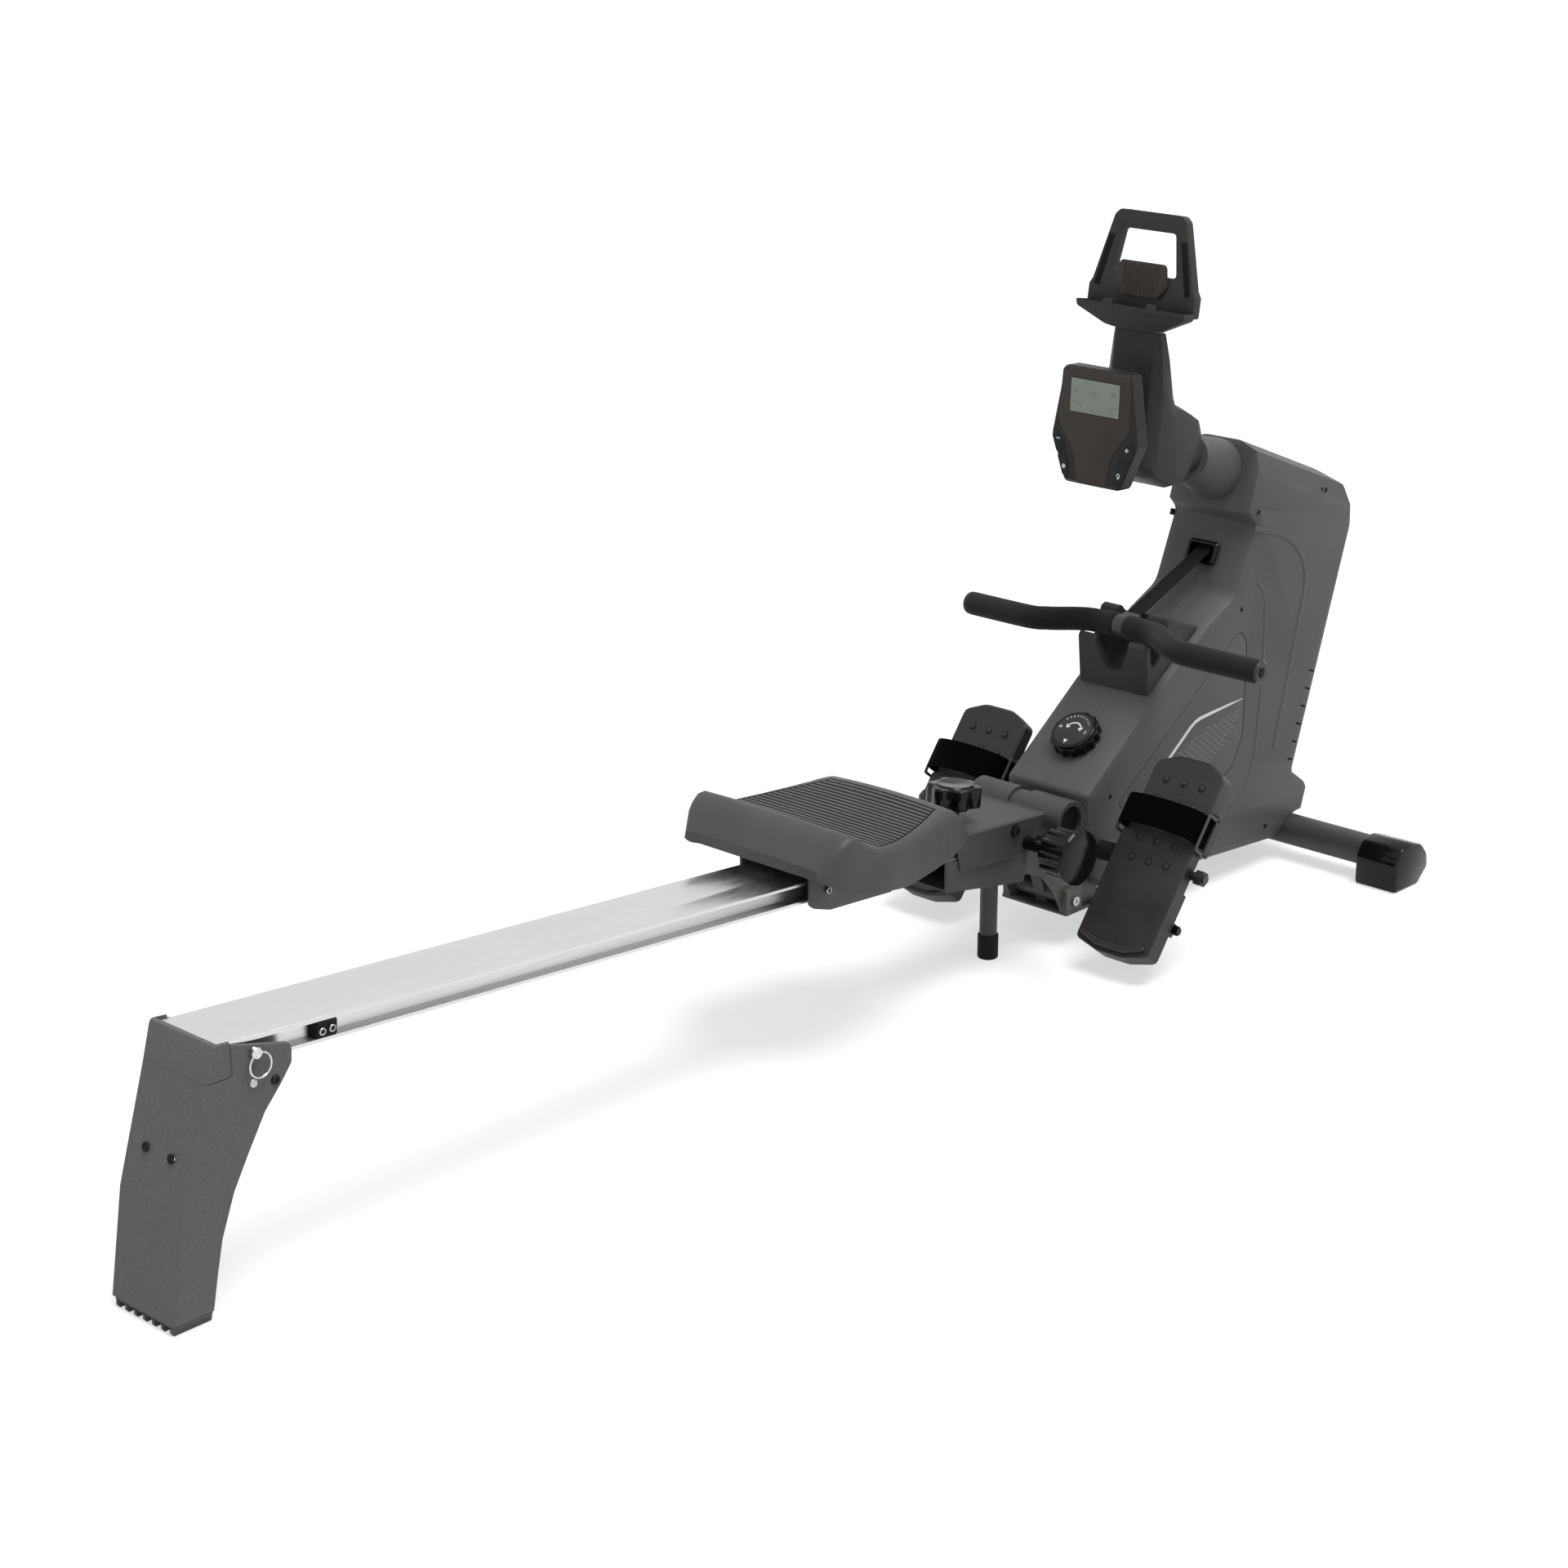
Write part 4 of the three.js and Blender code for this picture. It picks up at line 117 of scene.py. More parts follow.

# %% [markdown]
# ## Helpers for materials
# Every finish is a Principled shader with a few nodes that break up its colour and its surface. Colours are
# sRGB hex values, and one function turns them to the linear values that the shader works in. The patterns
# read Object coordinates, which are metres here, so a scale of 1000 is 1 mm.


def linear(hex_colour):
    """An sRGB hex colour as linear RGBA."""
    channels = [int(hex_colour[i : i + 2], 16) / 255 for i in (1, 3, 5)]
    return [c / 12.92 if c <= 0.04045 else ((c + 0.055) / 1.055) ** 2.4 for c in channels] + [1]


def add(tree, kind, settings, inputs):
    """A node with its settings, its input values and its links."""
    made = tree.nodes.new(kind)
    for key, value in settings.items():
        setattr(made, key, value)
    for key, value in inputs.items():
        if isinstance(value, bpy.types.NodeSocket):
            tree.links.new(value, made.inputs[key])
        else:
            made.inputs[key].default_value = value
    return made


def finish(name, slot, colour, roughness, level=0.5, **sockets):
    """A material with a Principled shader: its tree, its shader and its Object coordinates."""
    made = bpy.data.materials.new(name)
    made.use_nodes = True
    tree = made.node_tree
    shader = tree.nodes["Principled BSDF"]
    shader.inputs["Base Color"].default_value = linear(colour)
    shader.inputs["Roughness"].default_value = roughness
    shader.inputs["Specular IOR Level"].default_value = level
    for key, value in sockets.items():
        shader.inputs[key.replace("_", " ")].default_value = value
    places = tree.nodes.new("ShaderNodeTexCoord").outputs["Object"]
    return made, tree, shader, places


def patchy(tree, places, size, detail):
    """A noise with patches of a size in millimetres."""
    inputs = {"Vector": places, "Scale": 1000 / size, "Detail": detail}
    return add(tree, "ShaderNodeTexNoise", {}, inputs).outputs["Fac"]


def mottle(tree, shader, places, size, spread):
    """Lets the colour drift a little to both sides of itself, over patches of a size in millimetres."""
    base = shader.inputs["Base Color"].default_value[:3]
    ramp = add(tree, "ShaderNodeValToRGB", {}, {"Fac": patchy(tree, places, size, 3)})
    for stop, at, tone in zip(ramp.color_ramp.elements, (0.35, 0.65), (1 - spread, 1 + spread)):
        stop.position = at
        stop.color = [channel * tone for channel in base] + [1]
    tree.links.new(ramp.outputs["Color"], shader.inputs["Base Color"])


def raised(tree, shader, height, depth):
    """Raises the surface by a pattern, to a depth in millimetres."""
    bump = add(tree, "ShaderNodeBump", {}, {"Height": height, "Distance": depth / 1000})
    tree.links.new(bump.outputs["Normal"], shader.inputs["Normal"])


def glossed(tree, shader, pattern, low, high):
    """Lets the roughness drift between two values by a pattern."""
    inputs = {"Value": pattern, "From Min": 0.3, "From Max": 0.7, "To Min": low, "To Max": high}
    spread = add(tree, "ShaderNodeMapRange", {}, inputs)
    tree.links.new(spread.outputs["Result"], shader.inputs["Roughness"])


def surface(name, slot, colour, roughness, patches, spread=0.07, grain=None, rubbed=None, **sockets):
    """A finish that drifts in colour. Its grain is (size, depth, detail), and rubbed is (size, low, high)."""
    made, tree, shader, places = finish(name, slot, colour, roughness, **sockets)
    mottle(tree, shader, places, patches, spread)
    if grain:
        size, depth, detail = grain
        raised(tree, shader, patchy(tree, places, size, detail), depth)
    if rubbed:
        size, low, high = rubbed
        glossed(tree, shader, patchy(tree, places, size, 4), low, high)
    return made


# %% [markdown]
# ## Moulded plastics
# The housing halves are ABS from a spark-eroded tool, which leaves a fine matt grain. The rear foot has a
# coarser one. The mast, footplates and console are a darker glass-filled nylon with a satin surface, and the
# keys are satin too. The knobs, the bezel and the floor bar's end caps come from a polished tool, so they
# mirror the lights. The grain of ABS is about 0.3 mm, and it is drawn at 1 mm so that it shows.

# %% Moulded plastics
FINE_GRAIN = (0.9, 0.05, 2)

housing_abs = surface("moulded_abs_housing", "housing", "#4a4a49", 0.6, 90, grain=(1, 0.06, 2), level=0.45)
foot_abs = surface(
    "coarse_grain_abs_foot", "foot_plastic", "#5c5c5b", 0.72, 4, 0.1, grain=(1.8, 0.22, 3), level=0.45
)
dark_nylon = surface("glass_filled_nylon", "dark_plastic", "#3b3936", 0.5, 60, grain=FINE_GRAIN, level=0.15)
console_nylon = surface(
    "satin_console_nylon", "dark_plastic", "#24221f", 0.45, 40, grain=FINE_GRAIN, level=0.2
)
fascia_nylon = surface(
    "fine_grain_fascia_nylon", "dark_plastic", "#3c3733", 0.5, 40, grain=FINE_GRAIN, level=0.2
)
pedal_nylon = surface(
    "scuffed_glass_filled_nylon", "dark_plastic", "#2f2c2a", 0.45, 35, 0.1,
    grain=FINE_GRAIN, rubbed=(45, 0.36, 0.5), level=0.3,
)
seat_pp = surface(
    "moulded_polypropylene_seat", "seat_plastic", "#403f3d", 0.52, 70,
    grain=FINE_GRAIN, rubbed=(60, 0.46, 0.58), level=0.45,
)
polished_black = surface(
    "polished_black_abs", "gloss_black", "#0a0a0a", 0.22, 60,
    grain=(8, 0.02, 2), rubbed=(25, 0.12, 0.22), level=0.22,
)
satin_black = surface("satin_black_abs", "dark_plastic", "#151413", 0.4, 60, grain=FINE_GRAIN, level=0.2)
knob_disc = surface(
    "spark_eroded_black_abs", "gloss_black", "#2a2a2a", 0.6, 2, 0.2, grain=(1.6, 0.15, 2), level=0.3
)

# %% [markdown]
# ## Metals
# The rail is extruded aluminium, satin anodised: it keeps fine drawing lines along its length, which stretch
# the reflections. Pins and screws are zinc-plated or chromed steel, and the parts inside the housing are cast
# iron. The tubes, the brackets and the handle bar are powder-coated: the powder melts to a skin with a faint
# orange peel of about 2 mm.

# %% Metals
anodised, tree, shader, places = finish("anodised_aluminium_rail", "rail_metal", "#d2d2d1", 0.32, Metallic=1)
mottle(tree, shader, places, 200, 0.02)
LINE_LENGTH, LINE_WIDTH = 250, 1.4
scale = (1000 / LINE_LENGTH, 1000 / LINE_WIDTH, 1000 / LINE_WIDTH)
stretch = add(tree, "ShaderNodeMapping", {}, {"Vector": places, "Scale": scale})
lines = patchy(tree, stretch.outputs["Vector"], 1000, 3)
glossed(tree, shader, lines, 0.26, 0.4)
raised(tree, shader, lines, 0.012)

chrome = surface("chromed_steel", "steel", "#c8c8c7", 0.12, 200, 0.02, rubbed=(30, 0.08, 0.18), Metallic=1)
zinc = surface("zinc_plated_steel", "steel", "#b6b6b3", 0.28, 12, 0.1, rubbed=(6, 0.22, 0.36), Metallic=1)
cast_iron = surface("turned_cast_iron", "iron", "#5b5a59", 0.5, 9, 0.2, grain=(1.6, 0.08, 2), Metallic=0.9)
dark_coat = surface(
    "dark_powder_coat", "frame_paint", "#262625", 0.4, 40, grain=(2, 0.05, 2), level=0.35, Coat_Weight=0.1
)
light_coat, warm_coat, carriage_coat = (
    surface(name + "_powder_coat", "bracket_paint", colour, 0.5, 30, grain=(1.6, 0.06, 2), level=0.4)
    for name, colour in (("grey", "#3b3b3a"), ("warm_grey", "#5a5753"), ("light_grey", "#4e4e4d"))
)

# %% [markdown]
# ## Rubber, foam, webbing and inks
# The rollers, the stops and the pads are solid rubber. The grips are nitrile foam: its skin is matt, with
# fine pores that are drawn 1.5 mm wide so that they show. The pull belt is woven nylon, and the product of
# two soft waves, each about 19 mm long, stands for its weave. The inks are thin and matt, and the display is
# a plain greenish glass.

# %% Rubber, foam, webbing and inks
rubber = surface("moulded_rubber", "rubber", "#141413", 0.75, 15, 0.15, grain=(1.2, 0.06, 2), level=0.2)
pad_rubber = surface("brown_grey_rubber", "rubber", "#413c39", 0.7, 15, grain=(1.2, 0.06, 2), level=0.2)
strap_rubber = surface(
    "soft_strap_rubber", "webbing", "#020202", 0.8, 20, 0.1, grain=(1.4, 0.08, 2), level=0.03
)

PORE, PORE_DEPTH = 1.5, 0.25
foam, tree, shader, places = finish(
    "nitrile_foam_grip", "foam", "#1b1a19", 0.9, level=0.15, Sheen_Weight=0.1, Sheen_Roughness=0.6
)
mottle(tree, shader, places, 10, 0.1)
pores = add(tree, "ShaderNodeTexVoronoi", {}, {"Vector": places, "Scale": 1000 / PORE})
raised(tree, shader, pores.outputs["Distance"], PORE_DEPTH)

WAVE_SCALE, WEAVE_DEPTH = 1000 / 60, 0.5
webbing, tree, shader, places = finish("woven_nylon_webbing", "webbing", "#161514", 0.8, level=0.15)
mottle(tree, shader, places, 12, 0.1)
turn = add(tree, "ShaderNodeMapping", {}, {"Vector": places, "Rotation": (0, radians(BELT_RISE), 0)})
inputs = {"Vector": turn.outputs["Vector"], "Scale": WAVE_SCALE}
along, across = (
    add(tree, "ShaderNodeTexWave", {"bands_direction": axis}, inputs).outputs["Fac"] for axis in "XY"
)
weave = add(tree, "ShaderNodeMath", {"operation": "MULTIPLY"}, {0: along, 1: across})
raised(tree, shader, weave.outputs["Value"], WEAVE_DEPTH)

screen_glass = surface("lcd_glass", "lcd", "#8a9388", 0.22, 40, 0.04, level=0.3)
lcd_ink = surface("liquid_crystal_segments", "lcd", "#5f685d", 0.4, 3, 0.03)
white_ink = surface("printed_white_ink", "gloss_black", "#dededd", 0.5, 3, 0.02)
grey_ink = surface("printed_grey_ink", "housing", "#6e6d6b", 0.5, 3, 0.03)
print("materials", len(bpy.data.materials))

# %% [markdown]
# ## Helpers for pieces
# A piece starts as a bmesh in millimetres in its own frame. One helper turns it into an object in metres,
# with its finish, the body that it rides on, and the CAD node that it stands for.

# %% From a bmesh to a finished piece
def shade(bm, angle):
    """Smooth faces, with the edges sharper than an angle kept crisp."""
    bm.normal_update()
    for face in bm.faces:
        face.smooth = True
    for edge in bm.edges:
        edge.smooth = len(edge.link_faces) == 2 and edge.calc_face_angle(0) < radians(angle)


def as_mesh(bm, name):
    """The bmesh as a mesh."""
    mesh = bpy.data.meshes.new(name)
    bm.to_mesh(mesh)
    bm.free()
    return mesh


def together(*parts):
    """Several bmeshes as one."""
    whole = bmesh.new()
    for part in parts:
        mesh = as_mesh(part, "part")
        whole.from_mesh(mesh)
        bpy.data.meshes.remove(mesh)
    return whole


def finished(name, bm, place, material, body, replaces=(), angle=40):
    """A bmesh or a list of them as an object in metres, with its finish and the body that it rides on."""
    if isinstance(bm, list):
        bm = together(*bm)
    bmesh.ops.transform(bm, matrix=place, verts=bm.verts)
    shade(bm, angle)
    made = placed(name, as_mesh(bm, name))
    made.data.materials.append(material)
    if body:
        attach(made, body)
    if replaces:
        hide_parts(*replaces)
    return made


# %% [markdown]
# ## Helpers for new pieces
# Most mouldings are plates: the corners of an outline are rounded with a vertex bevel, it is pushed through
# with an extrude, and its rims get an edge bevel, as the radius of a real mould. Turned things, such as
# screws and discs, are a profile spun about an axis. Pieces that change along their length are rings joined
# by bridges.

# %% Plates
AXES = {"x": (1, 2, 0), "y": (0, 2, 1), "z": (0, 1, 2)}
SIDES = {"left": 1, "right": -1}
SAME = 1e-4


def outward(bm):
    """The piece with all its faces turned outwards."""
    bmesh.ops.recalc_face_normals(bm, faces=bm.faces[:])
    return bm


def soften(bm, geom, offset, segments=3, affect="EDGES"):
    """Rounds some edges or corners of a piece."""
    bmesh.ops.bevel(
        bm, geom=geom, offset=offset, segments=segments, profile=0.5,
        affect=affect, clamp_overlap=True, material=-1,
    )


def flat(axis, corners, at):
    """One face across an axis. A corner is [a, b] or [a, b, radius]: the radius is a vertex bevel."""
    bm = bmesh.new()
    points = []
    for corner in corners:
        place = [at, at, at]
        place[AXES[axis][0]], place[AXES[axis][1]] = corner[:2]
        points.append(bm.verts.new(place))
    bm.faces.new(points)
    for i, corner in enumerate(corners):
        if len(corner) < 3:
            continue
        here, before, after = (Vector(corners[k % len(corners)][:2]) for k in (i, i - 1, i + 1))
        angle = (before - here).angle(after - here)
        soften(bm, [points[i]], corner[2] / tan(angle / 2), 4, "VERTICES")
    return bm


def pushed(bm, way):
    """The faces pushed through along a way, as a closed piece."""
    made = bmesh.ops.extrude_face_region(bm, geom=bm.faces[:])["geom"]
    bmesh.ops.translate(bm, vec=way, verts=[v for v in made if isinstance(v, bmesh.types.BMVert)])
    return outward(bm)


def plate(axis, corners, start, end, rim=0.0, rims="both"):
    """A slab from one place on an axis to another, with one or both rims rounded."""
    c = AXES[axis][2]
    bm = pushed(flat(axis, corners, start), [end - start if k == c else 0 for k in range(3)])
    if rim:
        ends = {"both": (start, end), "start": (start,), "end": (end,)}[rims]
        rows = [e for e in bm.edges if any(all(abs(v.co[c] - z) < SAME for v in e.verts) for z in ends)]
        soften(bm, rows, rim)
    return bm


def block(bm, place, size):
    """Adds a cuboid round a place."""
    bmesh.ops.create_cube(bm, size=1, matrix=Matrix.Translation(place) @ Matrix.Diagonal((*size, 1)))


def rectangle(a, b, wide, high):
    """The corners of a rectangle round a place."""
    return [[a + s * wide / 2, b + t * high / 2] for s, t in ((1, -1), (1, 1), (-1, 1), (-1, -1))]


def mirrored_outline(half):
    """The corners on the left and, in reverse, their mirror images."""
    return half + [[-y, *rest] for y, *rest in half[::-1]]


def both_sides(bm):
    """The piece and its mirror image across y = 0."""
    bmesh.ops.mirror(bm, geom=bm.verts[:] + bm.edges[:] + bm.faces[:], axis="Y", merge_dist=0)
    return outward(bm)


# %% Turned pieces
def stood(bm, place, direction=(0, 0, 1)):
    """The piece moved to a place, with its own z axis along a direction."""
    turn = Vector((0, 0, 1)).rotation_difference(Vector(direction)).to_matrix().to_4x4()
    bmesh.ops.transform(bm, matrix=Matrix.Translation(place) @ turn, verts=bm.verts)
    return bm


def turned(bm, steps):
    """Points and edges spun once round the z axis."""
    line = bm.verts[:] + bm.edges[:]
    bmesh.ops.spin(bm, geom=line, axis=(0, 0, 1), cent=(0, 0, 0), angle=2 * pi, steps=steps, use_merge=True)
    bmesh.ops.remove_doubles(bm, verts=bm.verts, dist=SAME)
    return outward(bm)


def spun(profile, place=(0, 0, 0), direction=(0, 0, 1), steps=32):
    """A profile of [radius, height] spun about the z axis, then stood at a place along a direction."""
    bm = bmesh.new()
    points = [bm.verts.new((radius, 0, height)) for radius, height in profile]
    for pair in zip(points, points[1:]):
        bm.edges.new(pair)
    return stood(turned(bm, steps), place, direction)


def twins(profile, place, steps, lean=(0, 0)):
    """A turned piece on each side of the machine, standing outwards."""
    x, y, z = place
    return [spun(profile, (x, s * y, z), (lean[0], s, lean[1]), steps) for s in (1, -1)]


def ribbon(points, widths):
    """The corners of a band along a line of points, with one width or one for each point."""
    if not isinstance(widths, list):
        widths = [widths] * len(points)
    sides = ([], [])
    for i, (a, b) in enumerate(points):
        before, after = points[max(i - 1, 0)], points[min(i + 1, len(points) - 1)]
        along = Vector((after[0] - before[0], after[1] - before[1])).normalized() * widths[i] / 2
        sides[0].append([a - along.y, b + along.x])
        sides[1].append([a + along.y, b - along.x])
    return sides[0] + sides[1][::-1]


def round_points(radius, angles):
    """Points on a circle, at angles in degrees from its first axis."""
    return [(radius * cos(radians(a)), radius * sin(radians(a))) for a in angles]


# %% Pieces made of rings
def smooth_line(stations, at):
    """A Catmull-Rom line through rows of numbers, read at a value of their first number."""
    i = max(k for k, row in enumerate(stations[:-1]) if row[0] <= at or k == 0)
    rows = [stations[min(max(k, 0), len(stations) - 1)] for k in (i - 1, i, i + 1, i + 2)]
    t = (at - rows[1][0]) / (rows[2][0] - rows[1][0])
    found = []
    for p0, p1, p2, p3 in zip(*rows):
        bend = 2 * p0 - 5 * p1 + 4 * p2 - p3 + t * (3 * (p1 - p2) + p3 - p0)
        found.append(p1 + t / 2 * (p2 - p0 + t * bend))
    return found


def bridged(rings, closed=True):
    """Rings of points joined one to the next with bridges."""
    bm = bmesh.new()
    last = None
    for ring in rings:
        points = [bm.verts.new(point) for point in ring]
        ends = zip(points, points[1:] + points[:1]) if closed else zip(points, points[1:])
        edges = [bm.edges.new(pair) for pair in ends]
        if last:
            bmesh.ops.bridge_loops(bm, edges=last + edges)
        last = edges
    return bm


def closed_tube(rings):
    """Rings joined with bridges, with both ends filled."""
    bm = bridged(rings)
    bmesh.ops.holes_fill(bm, edges=bm.edges[:], sides=0)
    return outward(bm)


# %% [markdown]
# ## The seat
# The seat is a hollow polypropylene shell with a raised roll at the rear, and a field of grooves across it
# that keeps a rower from sliding. Its form changes evenly along x, so it is a row of cross-sections joined
# by bridges. Where a cross-section lies in a groove, its middle is lower. The shell then gets a wall inwards.

# %% Seat shell
SEAT = [
    [-168, 270, 268, 108, 256], [-153, 288, 286, 119, 246], [-135, 302, 300, 125, 238],
    [-122, 305, 303, 126, 234], [-104, 293, 291, 128, 230], [-84, 281.5, 279.5, 130, 226],
    [-60, 277, 276, 130, 221], [-23, 276, 275, 124, 215], [40, 278, 276, 111, 214],
    [68, 281, 277, 105, 215], [85, 279, 275, 102, 217], [104, 268, 264, 98, 222],
    [120, 250, 247, 93, 227], [130, 238, 236, 88, 232],
]
FIELD = [[-76, 125], [-35, 117], [0, 108], [35, 97], [70, 85]]
FIELD_REAR, FIELD_FRONT = -74, 68
GROOVES = 18
GROOVE_DEPTH = 3
GROOVE_FLOOR, GROOVE_TOP = 1.3, 1.8
FIELD_PAST = 1.4
BORDER, BORDER_SLOPE = 1.8, 0.4
RIM_RADIUS = 9
SEAT_WALL = 4
SEAT_REAR, SEAT_FRONT = -168, 130
REAR_ROWS = (SEAT_REAR, -160, -148, -140, -130, -122, -114, -106, -98, -90, -82)
FRONT_ROWS = (76, 84, 92, 98, 104, 109, 114, 118, 122, 126, SEAT_FRONT)

pitch = (FIELD_FRONT - FIELD_REAR) / (GROOVES - 1)
rows = {x: False for x in REAR_ROWS + FRONT_ROWS}
for i in range(GROOVES):
    x = FIELD_REAR + i * pitch
    rows.update({x - GROOVE_TOP: False, x - GROOVE_FLOOR: True, x + GROOVE_FLOOR: True, x + GROOVE_TOP: False})


def seat_ring(x, in_groove):
    """A cross-section of the shell, from the low edge of one flank over the top to the other."""
    _, middle, side, half, under = smooth_line(SEAT, x)
    edge = smooth_line(FIELD, min(max(x, FIELD[0][0]), FIELD[-1][0]))[1]
    top_end = half - RIM_RADIUS
    edge = min(edge, top_end - 1)
    in_field = FIELD_REAR - FIELD_PAST <= x <= FIELD_FRONT + FIELD_PAST
    half_ring = [(edge * k / 6, in_groove) for k in range(6)]
    half_ring += [(edge - BORDER - BORDER_SLOPE, in_groove), (edge - BORDER, in_field)]
    half_ring += [(edge, in_field), (edge + BORDER_SLOPE, False)]
    half_ring += [(edge + (top_end - edge) * k, False) for k in (0.55, 1)]
    points = [(y, side + (middle - side) * (1 - (y / half) ** 2) - low * GROOVE_DEPTH) for y, low in half_ring]
    drop = min(RIM_RADIUS, (side - under) * 0.6)
    for k in range(1, 6):
        turn = radians(18 * k)
        points.append((top_end + RIM_RADIUS * sin(turn), side - drop * (1 - cos(turn))))
    points += [(half + 1, (side - drop + under) / 2), (half - 1, under)]
    other = [(-y, z) for y, z in points[:0:-1]]
    return [(x, y, z) for y, z in other + points]


shell = bridged([seat_ring(x, rows[x]) for x in sorted(rows)], closed=False)
for x in (SEAT_REAR, SEAT_FRONT):
    bmesh.ops.contextual_create(shell, geom=[v for v in shell.verts if abs(v.co.x - x) < SAME])
outward(shell)
if max(shell.faces, key=lambda f: f.calc_center_median().z).normal.z < 0:
    bmesh.ops.reverse_faces(shell, faces=shell.faces[:])
bmesh.ops.solidify(shell, geom=shell.faces[:], thickness=SEAT_WALL)
finished("seat_shell", shell, MACHINE, seat_pp, "seat", ("seat_pan",), 32)
print("seat grooves", GROOVES, "pitch", round(pitch, 1), "mm")

# %% [markdown]
# ## Trim on the housing
# Each half has a smooth inlay in a shallow recess, with a thin gap round it. A black sheet at the floor of
# the gap is painted shade, so that the joint reads as a thin dark line. A white stripe with a bend runs
# across the inlay, over a field of small grey dashes. Raised beads stiffen the flat sides, and screws with
# black heads hold the halves together. The prints are thin plates, as ink is raised.

# %% Inlays
SIDE = 70
PANEL = [
    [456, 183, 6], [706, 356, 16], [722, 361, 10], [735, 340, 16],
    [735, 210, 30], [712, 168, 16], [640, 138, 20], [516, 114, 14],
]
RECESS = SIDE - 1.4
JOINT = 1.3


def shrunk(corners, gap):
    """The corners moved inwards by a gap, along the two edges that meet there."""
    moved = []
    for i, corner in enumerate(corners):
        here, before, after = (Vector(corners[k % len(corners)][:2]) for k in (i, i - 1, i + 1))
        one, two = (here - before).normalized(), (after - here).normalized()
        inward = Vector((one.y, -one.x)) + Vector((two.y, -two.x))
        inward *= gap / max(inward.dot(Vector((one.y, -one.x))), 0.3)
        moved.append([*(here + inward), *[max(r - gap, 0.5) for r in corner[2:]]])
    return moved


inlay = plate("y", shrunk(PANEL, JOINT), RECESS + 0.02, SIDE - 0.1, 0.4, "end")
finished("housing_inlays", both_sides(inlay), MACHINE, housing_abs, "frame")
# A black sheet at the floor of the gap round the inlay: painted shade, where the real gap is only shaded.
gap_shade_sheet = plate("y", shrunk(PANEL, 0.1), RECESS + 0.01, RECESS + 0.3)
finished("housing_inlay_joints", both_sides(gap_shade_sheet), MACHINE, rubber, "frame")

# %% Stripe and dashes
STRIPE = [
    (528, 190.5), (573, 222), (612, 249.5), (622, 255),
    (634, 257.8), (660, 259.5), (700, 261.7), (729.5, 263.2),
]
stripe = plate("y", ribbon(STRIPE, [5, 5, 5, 5, 5, 4.4, 3, 0.8]), SIDE - 0.1, SIDE + 0.05)
finished("housing_stripes", both_sides(stripe), MACHINE, white_ink, "frame")

DASH_FIELD = [(572, 214), (644, 240), (722, 249), (716, 231), (685, 204), (652, 186)]
DASH_ROWS, DASH_COLUMNS = 17, 14
DASH_START = (570, 187)
DASH_PITCH_X, DASH_PITCH_Z, DASH_LEAN = 13, 4.1, 0.9
DASH_SIZE = (9, 0.2, 1.5)


def inside(corners, a, b):
    """Whether a place lies within an outline."""
    hit = False
    for (a0, b0), (a1, b1) in zip(corners, corners[1:] + corners[:1]):
        if (b0 > b) != (b1 > b) and a < a0 + (b - b0) * (a1 - a0) / (b1 - b0):
            hit = not hit
    return hit


dashes = bmesh.new()
for row in range(DASH_ROWS):
    z = DASH_START[1] + row * DASH_PITCH_Z
    for column in range(DASH_COLUMNS):
        x = DASH_START[0] + (column + (row % 2) / 2) * DASH_PITCH_X + row * DASH_LEAN
        if inside(DASH_FIELD, x, z):
            block(dashes, (x, SIDE - 0.05, z), DASH_SIZE)
finished("housing_dashes", both_sides(dashes), MACHINE, grey_ink, "frame")

# %% Beads and screws
INNER_BEAD = [
    (750, 424), (766, 410), (773, 394), (776, 335), (773, 250), (766, 173), (755, 146), (737, 127), (708, 112),
]
OUTER_BEAD = [
    (740, 499), (803, 480), (836, 462), (858, 437), (868, 411), (867, 384), (847, 308), (827, 230), (811, 172),
]
beads = [
    plate("y", ribbon(line, width), SIDE - 0.6, SIDE + 0.9, 1.4, "end")
    for line, width in ((INNER_BEAD, 6), (OUTER_BEAD, 9))
]
finished("housing_beads", both_sides(together(*beads)), MACHINE, housing_abs, "frame")

SCREWS = [(748, 520), (718, 391), (440, 196), (800, 61), (667, 57), (906, 522)]
HEAD = [[0, -1.2], [1.4, -1.2], [1.6, 0.5], [3.4, 0.5], [3.9, 0.1], [3.9, -0.6], [0, -1.4]]
heads = [spun(HEAD, (x, -SIDE, z), (0, -1, 0), 20) for x, z in SCREWS]
finished("housing_screws", heads, MACHINE, satin_black, "frame")
print("trim", len(beads), "beads", len(heads), "screws")

# %% [markdown]
# ## The console
# A flat fascia of a lighter, browner plastic is set into the dark console. It narrows below the screen and
# leaves a strip on each side for the keys. The display shows thin digits and two arcs. The marks on the keys
# are generic: minus, plus, a dot and a return arrow.

# %% Fascia and display
FACE = -49
FASCIA = [[53, 81, 6], [57, 12, 6], [52, 3, 20], [33, -22, 20], [28, -34, 20], [23, -67, 3]]
LCD_MIDDLE, LCD_WIDE, LCD_HIGH = 46.5, 78.8, 43.8


def display_plate(wide, high, radius, height):
    """A thin plate round the middle of the display, a little larger or smaller than it."""
    corners = [[*corner, radius] for corner in rectangle(0, LCD_MIDDLE, LCD_WIDE * wide, LCD_HIGH * high)]
    return plate("x", corners, FACE - height, FACE, 0.1, "start")


panel = plate("x", mirrored_outline(FASCIA), FACE - 0.6, FACE + 0.4, 0.4, "start")
finished("console_fascia", panel, CONSOLE, fascia_nylon, "console")
finished("console_display_edge", display_plate(1.02, 1.03, 1, 0.75), CONSOLE, satin_black, "console")
glass = display_plate(0.985, 0.98, 0.5, 0.85)
finished("console_glass", glass, CONSOLE, screen_glass, "console", ("console_screen",))

